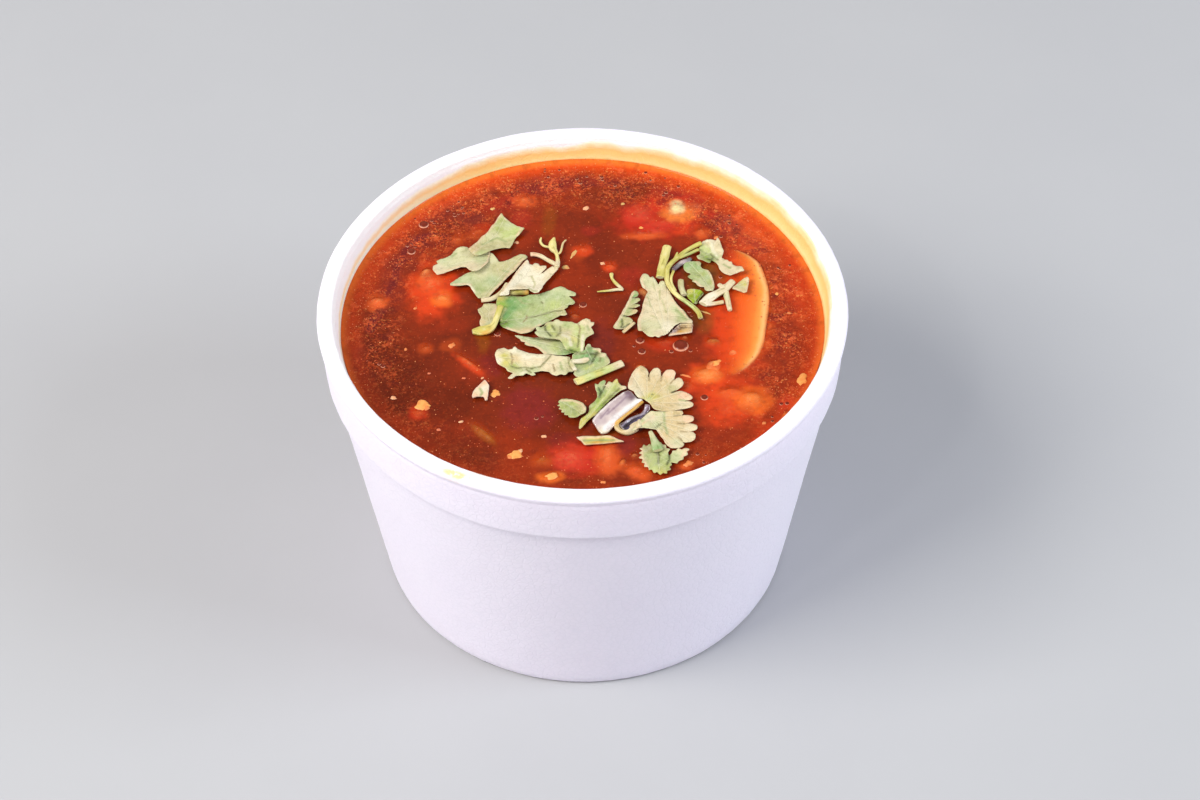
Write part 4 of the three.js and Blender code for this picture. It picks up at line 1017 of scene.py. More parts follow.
            -16, -169, -21, -160, -19, -152, -26, -142, -32, -130, -31, -122, -24, -114, -24, -104,
            -18, -98, -6, -96, 3, -90),
        # The dark olive beside its cut is painted shade
        tones=dict(cream=(44, -105), mist=(12, -76, -8, -158), khaki=(34, -88, 53, -120),
            silver=(4, -162), sage=(36, -134, 14, -144, 0, -140, -24, -126), mint=(12, -88,
            -10, -108, 22, -92, 42, -118, 28, -120), jade=(6, -108), shadow_olive=(29, -99)),
        strokes=[("cut", 31, -96, 26, -110, 19, -128, 15, -139), ("cut", 14, -102, 26, -100),
            ("crease", 38, -114, 36, -124), ("crease", -16, -102, 2, -100, 10, -96),
            ("hem", 24, -85, 35, -86, 37, -94), ("rib", 6, -146, 22, -134)],
        lifts=(36, -88, 12, 4, 54, -120, 14, 3, 46, -104, 10, 4)),
    "coriander_pale_fan": dict(
        slot="leaf_pale", root=(190, -75), lobes=(86, 94, 102, 110),
        edge=(131, 137, 135, 147, 140, 151, 147, 148, 152, 138, 155, 138, 158, 142, 162, 137,
            167, 125, 171, 116, 173, 122, 178, 127, 184, 125, 187, 116, 191, 104, 197, 92, 198, 82,
            203, 68, 212, 49, 224, 32, 231, 18, 236, 6, 244, -3, 241, -10, 227, -7, 215, -8,
            204, -15, 196, -27, 189, -39, 180, -46, 173, -46, 167, -53, 159, -48, 153, -51,
            146, -49, 139, -41, 131, -32, 123, -31, 121, -25, 121, -6, 123, 6, 129, 23, 133, 42,
            137, 66, 142, 82, 147, 92, 142, 101, 135, 106, 131, 118, 130, 128),
        tones=dict(milk=(184, -18), cream=(152, 90, 166, 90, 186, 84, 160, 54, 184, 50, 146, 24,
            166, 18, 192, 16, 234, -5, 166, -40), pale=(140, 138, 159, 126, 180, 116, 144, 114,
            140, -12, 164, -16, 146, -42), mist=(210, 36), khaki=(130, -26), sage=(224, 8)),
        strokes=[("hem", 200, 66, 216, 38, 232, 9), ("furrow", 210, 32, 220, 16, 230, 2),
            ("vein", 174, 96, 172, 68), ("vein", 159, 118, 163, 96), ("vein", 146, 84, 152, 44),
            ("vein", 178, 64, 186, 26), ("vein", 152, 16, 166, 8), ("hem", 134, 144, 133, 124,
            140, 108, 146, 94), ("hem", 126, -28, 125, -6, 134, 32, 142, 72)],
        lifts=(142, 142, 18, 5, 180, 120, 14, 4, 240, -6, 14, 3, 164, -48, 18, 5,
            126, -24, 16, 4)),
    "coriander_fringed_leaf": dict(
        slot="leaf_sage", rib=(74, -16, 94, 30, 110, 88),
        edge=(117, 97, 110, 89, 104, 70, 96, 49, 89, 32, 81, 13, 74, -3, 67, -18, 72, -24, 84, -25,
            96, -23, 102, -15, 107, -10, 112, 1, 105, 11, 94, 15, 107, 18, 118, 24, 123, 32,
            118, 37, 109, 38, 119, 42, 129, 48, 124, 53, 112, 53, 122, 58, 129, 66, 125, 73,
            115, 73, 123, 78, 126, 85, 124, 93),
        tones=dict(straw=(118, 32), khaki=(124, 67, 106, 50, 92, 22, 96, 0, 74, -16, 90, -20,
            106, -2), sage=(118, 92, 114, 60, 100, 30), olive=(84, -2), jade=(116, 76)),
        strokes=[("cut", 90, 17, 106, 14), ("cut", 104, 40, 116, 39), ("cut", 109, 75, 118, 73),
            ("cut", 87, 6, 88, -12, 84, -20), ("cut", 104, -8, 96, -16, 88, -21), ("hem", 72, -14,
            86, 20, 104, 62, 114, 92)],
        lifts=(124, 32, 10, 4, 126, 66, 10, 4, 110, 0, 10, 4)),
    "coriander_grey_leaf": dict(
        slot="leaf_green", rib=(286, 100, 268, 144, 244, 182),
        edge=(236, 187, 246, 189, 265, 189, 270, 184, 268, 175, 271, 166, 284, 161, 291, 147,
            295, 128, 297, 113, 296, 103, 293, 94, 280, 92, 274, 98, 273, 106, 265, 106, 258, 112,
            255, 119, 246, 125, 250, 129, 244, 132, 237, 140, 245, 146, 244, 150, 236, 154,
            230, 163, 229, 175, 232, 183),
        tones=dict(pale=(288, 102), mist=(274, 118), khaki=(262, 184), olive=(268, 146, 289, 120),
            silver=(282, 136), sage=(252, 162, 246, 138), mint=(238, 174, 254, 182, 262, 168)),
        strokes=[("hem", 273, 168, 284, 160, 292, 140, 295, 114), ("furrow", 250, 154, 270, 136,
            284, 112), ("hem", 254, 124, 264, 110, 274, 102)],
        lifts=(234, 178, 16, 4, 286, 96, 12, 4, 240, 140, 10, 3)),
    "coriander_bright_leaf": dict(
        slot="leaf_green", rib=(252, 54, 250, 94),
        edge=(235, 98, 248, 100, 265, 96, 272, 85, 262, 69, 254, 51, 246, 55, 235, 73, 232, 85),
        tones=dict(celery=(242, 93), spring=(258, 90, 254, 62), fern=(248, 78, 264, 80)),
        strokes=[("cut", 269, 86, 258, 66, 252, 54)],
        lifts=(240, 96, 12, 3)),
    "coriander_curled_leaf": dict(
        slot="leaf_pale", rib=(276, 206, 296, 220, 304, 254),
        edge=(267, 235, 270, 247, 277, 255, 286, 260, 298, 260, 306, 257, 308, 266, 312, 266,
            316, 254, 318, 240, 322, 225, 321, 213, 317, 201, 324, 194, 330, 193, 333, 187,
            339, 187, 341, 178, 349, 172, 361, 170, 366, 157, 355, 153, 346, 148, 334, 142,
            324, 146, 316, 153, 310, 163, 308, 175, 303, 185, 294, 193, 289, 184, 281, 187,
            274, 192, 262, 196, 259, 206, 267, 211, 269, 218, 266, 225),
        tones=dict(cream=(284, 252, 302, 250, 306, 228, 315, 216, 310, 260, 316, 192, 326, 174,
            334, 156, 354, 162, 314, 166), lime=(274, 234, 284, 222), silver=(304, 204),
            sage=(268, 204, 276, 196), apple=(282, 200), moss=(290, 194)),
        strokes=[("crease", 293, 212, 300, 200, 309, 193), ("fold", 295, 248, 298, 224, 306, 208),
            ("cut", 284, 198, 292, 192, 296, 198), ("fold", 272, 248, 286, 257, 300, 257),
            ("furrow", 270, 224, 286, 212, 290, 200), ("furrow", 320, 178, 334, 166)],
        lifts=(288, 256, 20, 8, 312, 234, 14, 6, 358, 162, 16, 6, 336, 146, 14, 5,
            264, 204, 12, 3)),
    "coriander_small_right_leaf": dict(
        slot="leaf_green", rib=(339, 104, 370, 120),
        edge=(372, 138, 376, 128, 373, 109, 369, 89, 362, 85, 353, 91, 336, 99, 338, 105, 346, 112,
            355, 123, 364, 132),
        tones=dict(straw=(370, 130, 364, 92), celery=(366, 114), khaki=(342, 104, 352, 106)),
        strokes=[("hem", 372, 132, 372, 112, 366, 90, 352, 94, 340, 101)],
        lifts=(370, 130, 12, 4, 365, 90, 12, 3)),
    "coriander_narrow_leaf": dict(
        slot="leaf_green", rib=(-7, -316, 30, -260, 66, -194),
        edge=(24, -190, 32, -194, 37, -185, 44, -180, 49, -184, 47, -196, 55, -184, 62, -189,
            70, -177, 74, -177, 76, -189, 82, -197, 92, -200, 93, -206, 82, -211, 73, -220,
            63, -232, 51, -247, 40, -263, 30, -278, 18, -290, 6, -304, -3, -318, -9, -324,
            -11, -320, -9, -306, -6, -294, 4, -285, 10, -277, 11, -266, 12, -256, 23, -244,
            29, -232, 29, -218, 26, -206),
        tones=dict(cream=(51, -197, 88, -203), celery=(71, -183, 18, -278, 4, -298, -7, -316),
            sage=(30, -198, 20, -252), olive=(66, -202, 72, -212, 52, -230), mint=(42, -188,
            38, -214), apple=(38, -250, 26, -262)),
        strokes=[("cut", 33, -204, 37, -218, 34, -232), ("cut", 46, -200, 40, -216, 36, -226),
            ("rib", 66, -196, 48, -228, 30, -256, 6, -290), ("crease", 78, -206, 58, -230,
            42, -252)],
        lifts=(42, -186, 12, 4, 72, -182, 12, 5, 88, -203, 10, 4)),
    "coriander_oval_leaf": dict(
        slot="leaf_sage", rib=(-50, -242, -24, -262, -6, -278),
        edge=(-55, -244, -49, -236, -37, -235, -22, -238, -10, -242, 0, -249, 6, -263, 4, -275,
            -6, -282, -14, -289, -22, -291, -32, -289, -33, -282, -42, -282, -40, -275, -48, -274,
            -46, -267, -54, -265, -50, -258, -57, -255, -51, -250),
        tones=dict(khaki=(-6, -258, -2, -272), sage=(-46, -244, -34, -268), olive=(-24, -252,
            -16, -276, -42, -260)),
        strokes=[("hem", -48, -240, -24, -240, -2, -252, 3, -268), ("furrow", -36, -248, -24, -264,
            -18, -282)],
        lifts=(-50, -242, 14, 3, 2, -264, 14, 3)),
    "coriander_beige_fan": dict(
        slot="leaf_beige", root=(138, -247), lobes=(-28, -14, 6, 38, 62, 80, 100, 122),
        edge=(96, -204, 97, -192, 100, -178, 106, -161, 113, -150, 118, -143, 125, -138, 133, -141,
            139, -150, 142, -159, 141.5, -173, 144, -162, 149, -152, 155, -146, 162, -145,
            168, -153, 169, -163, 170, -172, 175, -159, 182, -152, 191, -150, 199, -154, 201, -163,
            199, -172, 196, -184, 206, -174, 214, -180, 217, -192, 214, -202, 204, -212, 189, -221,
            204, -215, 213, -216, 223, -220, 232, -228, 235, -235, 231, -242, 218, -244.5,
            231, -247, 237, -254, 233, -262, 221, -267, 204, -271, 187, -274, 168, -274, 156, -271,
            148, -264, 143, -252, 137, -245, 128, -237, 118, -234, 112, -224, 108, -214, 99, -209),
        tones=dict(milk=(115, -222), cream=(104, -194, 116, -170, 156, -156, 206, -190, 124, -212,
            214, -256), peach=(188, -162, 216, -230), straw=(126, -146, 130, -174, 156, -186,
            178, -190, 164, -214, 140, -206, 190, -236, 180, -258, 156, -254), celery=(138, -239,
            150, -228), khaki=(192, -206)),
        strokes=[("crease", 148, -225, 150, -226), ("notch", 142, -170, 143, -184),
            ("notch", 170, -170, 168, -186), ("notch", 197, -180, 189, -193), ("cut", 190, -220,
            203, -215), ("furrow", 222, -244, 206, -242), ("hem", 102, -196, 106, -172, 120, -148),
            ("fold", 113, -214, 116, -230), ("rib", 134, -243, 144, -236)],
        lifts=(124, -146, 18, 3, 160, -150, 16, 5, 192, -156, 18, 6, 212, -188, 16, 6,
            230, -234, 16, 5, 230, -256, 16, 4, 100, -190, 16, 4)),
    "coriander_lower_fan": dict(
        slot="leaf_beige", root=(139, -293), lobes=(-68, -56, -44, -31, -16, -1, 13),
        edge=(144, -272, 154, -275, 170, -275, 192, -274, 211, -273, 214, -281, 209, -287,
            225, -286, 235, -292, 236, -300, 230, -307, 214, -312, 230, -311, 240, -315, 243, -323,
            238, -331, 220, -336, 232, -336, 238, -344, 236, -356, 226, -365, 213, -366, 208, -363,
            213, -373, 205, -380, 192, -382, 182, -381, 174, -371, 168, -356, 160, -340, 154, -328,
            146, -326, 128, -322, 116, -323, 106, -331, 100, -330, 109, -317, 121, -300,
            135, -282),
        tones=dict(cream=(144, -294, 230, -322, 210, -344, 226, -352, 186, -376),
            peach=(224, -298), straw=(184, -286, 204, -280, 180, -310, 204, -316, 184, -340,
            170, -346), pale=(114, -322, 162, -286, 196, -366), mist=(126, -308, 156, -314)),
        strokes=[("notch", 209, -287, 194, -289), ("notch", 214, -312, 200, -311),
            ("notch", 220, -336, 206, -334), ("notch", 208, -362, 200, -350), ("crease", 153, -322,
            166, -310), ("furrow", 172, -278, 172, -312, 178, -340), ("hem", 112, -324, 130, -306,
            150, -290), ("hem", 158, -330, 172, -362, 184, -378)],
        lifts=(230, -298, 16, 5, 236, -322, 16, 5, 232, -350, 16, 5, 194, -376, 18, 4)),
    "coriander_small_three_lobe_leaf": dict(
        slot="leaf_green", rib=(154, -374, 156, -410, 158, -452),
        edge=(144, -376, 139, -369, 132, -375, 126, -370, 123, -379, 116, -382, 123, -388,
            115, -395, 122, -399, 115, -408, 123, -412, 120, -422, 128, -424, 126, -434, 134, -434,
            135, -444, 142, -442, 146, -452, 153, -448, 159, -458, 165, -451, 173, -454, 174, -445,
            182, -443, 179, -434, 186, -429, 182, -422, 190, -424, 196, -426, 200, -418, 209, -414,
            210, -406, 219, -400, 217, -392, 223, -385, 214, -381, 206, -386, 199, -380, 194, -389,
            187, -389, 184, -398, 179, -404, 177, -394, 182, -384, 174, -382, 174, -372, 166, -372,
            162, -364, 156, -370, 150, -366),
        tones=dict(cream=(216, -386), pale=(208, -392), mist=(194, -406), lime=(144, -442),
            celery=(162, -452), khaki=(130, -384, 126, -416, 172, -380), sage=(140, -404,
            166, -400, 154, -426, 174, -414), olive=(156, -386, 176, -436)),
        strokes=[("cut", 154, -382, 158, -402, 156, -424), ("crease", 158, -402, 146, -388),
            ("cut", 180, -398, 180, -414, 174, -428), ("hem", 122, -380, 122, -408, 134, -438),
            ("hem", 200, -385, 216, -385, 206, -408)],
        lifts=(122, -386, 14, 4, 214, -386, 14, 6, 162, -452, 16, 3)),
}


def pairs(numbers, each=2):
    """Splits a list in tenths of a millimetre into places in millimetres, or longer rows."""
    return np.reshape(np.array(numbers, float) / 10, (-1, each))


def rounded(corners, share, rounds):
    """Rounds the corners that stand out, and leaves the notches sharp."""
    points = [np.array(p) for p in corners]
    for _ in range(rounds):
        cut = []
        for k, b in enumerate(points):
            a, c = points[k - 1], points[(k + 1) % len(points)]
            turn = (b[0] - a[0]) * (c[1] - b[1]) - (b[1] - a[1]) * (c[0] - b[0])
            if turn > 0:
                cut += [b + share * (a - b), b + share * (c - b)]
            else:
                cut.append(b)
        points = cut
    return np.array(points)


def evenly(loop, step):
    """A closed outline with its points step apart."""
    closed = np.vstack([loop, loop[:1]])
    gone = np.concatenate([[0], np.cumsum(np.linalg.norm(np.diff(closed, axis=0), axis=1))])
    at = np.linspace(0, gone[-1], int(gone[-1] / step), endpoint=False)
    return np.stack([np.interp(at, gone, closed[:, k]) for k in (0, 1)], 1)


def frayed(loop, depth, seed):
    """Small uneven teeth along an outline."""
    ahead = np.roll(loop, -1, axis=0) - np.roll(loop, 1, axis=0)
    out = np.stack([ahead[:, 1], -ahead[:, 0]], 1)
    out /= np.maximum(np.linalg.norm(ahead, axis=1), 1e-6)[:, None]
    flat = np.column_stack([loop, np.full(len(loop), seed)])
    push = depth * (0.9 * lumps(flat, 0.75, seed) + 0.7 * lumps(flat, 1.9, seed + 7))
    return loop + out * push[:, None]


def inside(places, loop):
    """Which places lie inside a closed outline."""
    x, y = places[:, 0:1], places[:, 1:2]
    ax, ay = loop.T
    bx, by = np.roll(loop, -1, axis=0).T
    crossing = (bx - ax) * (y - ay) / np.where(by == ay, 1e-9, by - ay) + ax
    return (((ay > y) != (by > y)) & (x < crossing)).sum(1) % 2 == 1


def along_line(places, line):
    """How far along a line each place is, and how far to its side."""
    best, along, aside = np.full(len(places), 1e9), np.zeros(len(places)), np.zeros(len(places))
    gone = 0.0
    for k, (a, b) in enumerate(zip(line, line[1:])):
        length = np.linalg.norm(b - a)
        way = (b - a) / length
        t = (places - a) @ way
        low = -1e9 if k == 0 else 0
        high = 1e9 if k == len(line) - 2 else length
        t = np.clip(t, low, high)
        off = places - a - t[:, None] * way
        side = way[0] * off[:, 1] - way[1] * off[:, 0]
        distance = np.linalg.norm(off, axis=1)
        nearer = distance < best
        best = np.where(nearer, distance, best)
        along = np.where(nearer, gone + t, along)
        aside = np.where(nearer, np.copysign(distance, side), aside)
        gone += length
    return along, aside


def nearer_by(z):
    """How much nearer to the viewer a point at a height lies than where it is seen on the soup."""
    return (z - SOUP_LEVEL) / math.tan(math.radians(SIGHT_ANGLE))


def heights_on(skin, x, y):
    """The top of a CAD piece at each place, or its nearest part where the place is beside it."""
    found = []
    for a, b in zip(x, y):
        hit = skin.ray_cast(Vector((a, b, 90)), Vector((0, 0, -1)))[0]
        found.append((hit or skin.find_nearest(Vector((a, b, 72)))[0]).z)
    return np.array(found)


# The top of each blade that is laid so far, by the name of its node
laid = {}


def blade(node, name, edge, tones, strokes, lifts, ragged=0.09, round_share=0.12, rounds=1,
          thickness=BLADE_THICKNESS, crinkle=CRINKLE, step=BLADE_STEP, smooths=5):
    """A thin sheet in the place of a CAD blade: its object, and where each point is seen."""
    seed = sum(map(ord, node)) % 97
    edge = pairs(edge)
    after = np.roll(edge, -1, axis=0)
    if (edge[:, 0] * after[:, 1] - edge[:, 1] * after[:, 0]).sum() < 0:
        edge = edge[::-1]
    loop = frayed(evenly(rounded(edge, round_share, rounds), TOOTH_STEP), ragged, seed)
    field = hex_field(loop.min(0), loop.max(0), step)
    field = field[inside(field, loop)]
    field = field[from_line(field, loop, True) > 0.45 * step]
    rim = [(k, (k + 1) % len(loop)) for k in range(len(loop))]
    seen, made = net(np.vstack([loop, field]), rim, True)
    count = len(seen)
    border = from_line(seen, loop, True)

    # It follows the CAD blade and its own creases, and keeps off the blades under it
    node_skin = skin_of(frame["nodes"][node])
    low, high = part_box(node)
    z = np.full(count, (low.z + high.z) / 2 / MM)
    for _ in range(2):
        z = blurred(heights_on(node_skin, seen[:, 0], seen[:, 1] - nearer_by(z)), made, smooths)
    flat = np.column_stack([seen, np.zeros(count)])
    z += crinkle * (lumps(flat, 1.9, seed) + 0.5 * lumps(flat, 0.8, seed + 3)) - BLADE_DROP
    for x, y, reach, rise in pairs(lifts, 4):
        z += rise * smooth_step(1 - np.hypot(seen[:, 0] - x, seen[:, 1] - y) / reach, 0, 1)
    for kind, *line in strokes:
        rise, width, _ = STROKES_AND_PAINTED_LIGHT[kind]
        z += rise * smooth_step(1 - from_line(seen, pairs(line)) / (0.9 * width), 0, 1)
    thin = thickness * (0.6 + 0.4 * smooth_step(border, 0, 0.5))
    needed = np.zeros(count)
    for below in laid.values():
        for k, (x, y) in enumerate(seen):
            hit = below.ray_cast(Vector((x, y - nearer_by(z[k]), 90)), Vector((0, 0, -1)))[0]
            if hit is not None:
                needed[k] = max(needed[k], hit.z + BLADE_GAP + thin[k])
    z = np.maximum(z, needed)
    z = np.maximum(blurred(z, made, 3), needed)

    y = seen[:, 1] - nearer_by(z)
    top = np.column_stack([seen[:, 0], y, z])
    points = np.vstack([top, np.column_stack([seen[:, 0], y, z - thin])])
    rims = {}
    for a, b, c in made:
        for pair in ((a, b), (b, c), (c, a)):
            rims[pair] = True
    sides = [(a, a + count, b + count, b) for a, b in rims if (b, a) not in rims]
    piece = mesh_piece(name, points, made.tolist() + (made[:, ::-1] + count).tolist() + sides)
    laid[node] = BVHTree.FromPolygons(top.tolist(), made.tolist())
    mark(piece, "edge", np.tile(border, 2))
    mark(piece, "tone", np.tile(coloured(seen, tones, strokes), (2, 1)))
    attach(piece, "root")
    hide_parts(node)
    return piece, np.tile(seen, (2, 1))


def coloured(seen, tones, strokes=()):
    """The colour at each place: of the tones round it, the nearer the more, and of the strokes,
    with their painted shade and highlights.
    """
    total, weight = np.zeros((len(seen), 4)), np.zeros(len(seen))
    for tone, places in tones.items():
        for x, y in pairs(places):
            near = 1 / (0.25 + (seen[:, 0] - x) ** 2 + (seen[:, 1] - y) ** 2) ** 1.5
            total += near[:, None] * np.array(paint(*TONES[tone]))
            weight += near
    colours = total / weight[:, None]
    for kind, *line in strokes:
        _, width, colour = STROKES_AND_PAINTED_LIGHT[kind]
        amount = 0.9 * smooth_step(1 - from_line(seen, pairs(line)) / (0.75 * width), 0, 0.8)
        colours = lay_colour(colours, amount, colour)
    return colours


def leaf_finish(name, fan):
    """A damp leaf: blotches, fine cells, a rib with side veins, and a paler cut edge."""
    leaf = Finish(name, 0.5, 0.35)
    along = leaf.add("SeparateXYZ", {0: leaf.marked("veins", "Vector")})
    beside = leaf.add("SeparateXYZ", {0: leaf.marked("veins", "Vector")}, 1)
    wander = leaf.sums("MULTIPLY", leaf.sums("SUBTRACT", leaf.noise(2.2, 2), 0.5), 0.7)
    if fan:
        lobe = leaf.sums("SUBTRACT", leaf.sums("FRACT", leaf.sums(
            "ADD", beside, leaf.sums("MULTIPLY", wander, 0.12), 0.5)), 0.5)
        spread = leaf.add("SeparateXYZ", {0: leaf.marked("veins", "Vector")}, 2)
        away = leaf.sums("MULTIPLY", leaf.sums("ABSOLUTE", lobe), spread)
    else:
        away = leaf.sums("ABSOLUTE", leaf.sums("ADD", beside, leaf.sums("MULTIPLY", wander, 0.5)))
    rib = leaf.fade(away, 0.07, 0.22, 1.0, 0.0)
    steps = leaf.sums("FRACT", leaf.sums("DIVIDE", leaf.sums(
        "ADD", leaf.sums("SUBTRACT", along, leaf.sums("MULTIPLY", away, 0.9)), wander), VEIN_GAP))
    branch = leaf.sums("ABSOLUTE", leaf.sums("SUBTRACT", steps, 0.5))
    branch = leaf.sums("MULTIPLY", leaf.fade(branch, 0.03, 0.085, 1.0, 0.0),
                       leaf.fade(away, 1.0, 3.5, 0.8, 0.25))
    veins = leaf.sums("MAXIMUM", rib, branch)
    cells = leaf.cells(0.42)
    blotches = leaf.noise(1.3, 4, 0.65)
    tone = leaf.marked("tone", "Color")
    deep = leaf.mix(1.0, tone, paint(216, 222, 196), "MULTIPLY")
    tone = leaf.mix(leaf.fade(blotches, 0.50, 0.68, 0.0, 0.5), tone, deep)
    tone = leaf.mix(leaf.fade(blotches, 0.36, 0.48, 0.22, 0.0), tone, paint(244, 238, 204))
    tone = leaf.mix(leaf.fade(cells, 0.0, 0.16, 0.10, 0.0), tone, deep)
    light = leaf.mix(0.5, tone, paint(246, 240, 206))
    tone = leaf.mix(leaf.sums("MULTIPLY", veins, 0.45), tone, light)
    rimmed = leaf.sums("MULTIPLY", leaf.fade(leaf.marked("edge"), 0.02, 0.26, 0.45, 0.0),
                       leaf.fade(leaf.noise(1.4, 2), 0.42, 0.62, 0.0, 1.0))
    leaf.colour(leaf.mix(rimmed, tone, paint(240, 214, 174)))
    relief = leaf.sums("SUBTRACT", leaf.fade(cells, 0.0, 0.3, 0.0, 0.35), veins)
    relief = leaf.sums("ADD", relief, leaf.sums("MULTIPLY", blotches, 0.8))
    leaf.set("Normal", leaf.bump(relief, 0.09, 0.8))
    leaf.set("Roughness", leaf.fade(blotches, 0.3, 0.7, 0.38, 0.62))
    return leaf.material


leaf_finishes = {}
for node, leaf in LEAVES.items():
    fan = "root" in leaf
    shape = dict(round_share=0.2, rounds=2) if fan else {}
    name = node.replace("coriander_", "leaf_") + "_blade"
    piece, seen = blade(
        node, name, leaf["edge"], leaf["tones"], leaf["strokes"], leaf["lifts"], **shape)
    if fan:
        arm = seen - pairs(leaf["root"])
        reach = np.linalg.norm(arm, axis=1)
        turns = np.array(leaf["lobes"], float)
        heading = np.degrees(np.arctan2(arm[:, 1], arm[:, 0])) - turns.mean()
        heading = (heading + 180) % 360 - 180 + turns.mean()
        veins = np.stack([reach, np.interp(heading, turns, np.arange(len(turns))),
                          reach * math.radians(np.diff(turns).mean())], 1)
    else:
        along, beside = along_line(seen, pairs(leaf["rib"]))
        veins = np.stack([along, beside, along * 0], 1)
    mark(piece, "veins", veins)
    kind = (leaf["slot"], fan)
    if kind not in leaf_finishes:
        leaf_finishes[kind] = leaf_finish(leaf["slot"] + ("_fan" if fan else "_blade"), fan)
    piece.data.materials.append(leaf_finishes[kind])

# Coriander stalks
# The stalks were chopped with the leaves. Each is a juicy ribbed stem, yellow to cream, cut square
# at its ends, and lies in curves on the broth and over the leaves.
STALK_STEP = 0.3
STALK_SIDES = 20
STALK_FLATNESS = 0.72
STALK_THICKEST = 0.75
STALK_RIBS = 6
CUT_HOLLOW = 0.10
CUT_LIP = 0.62

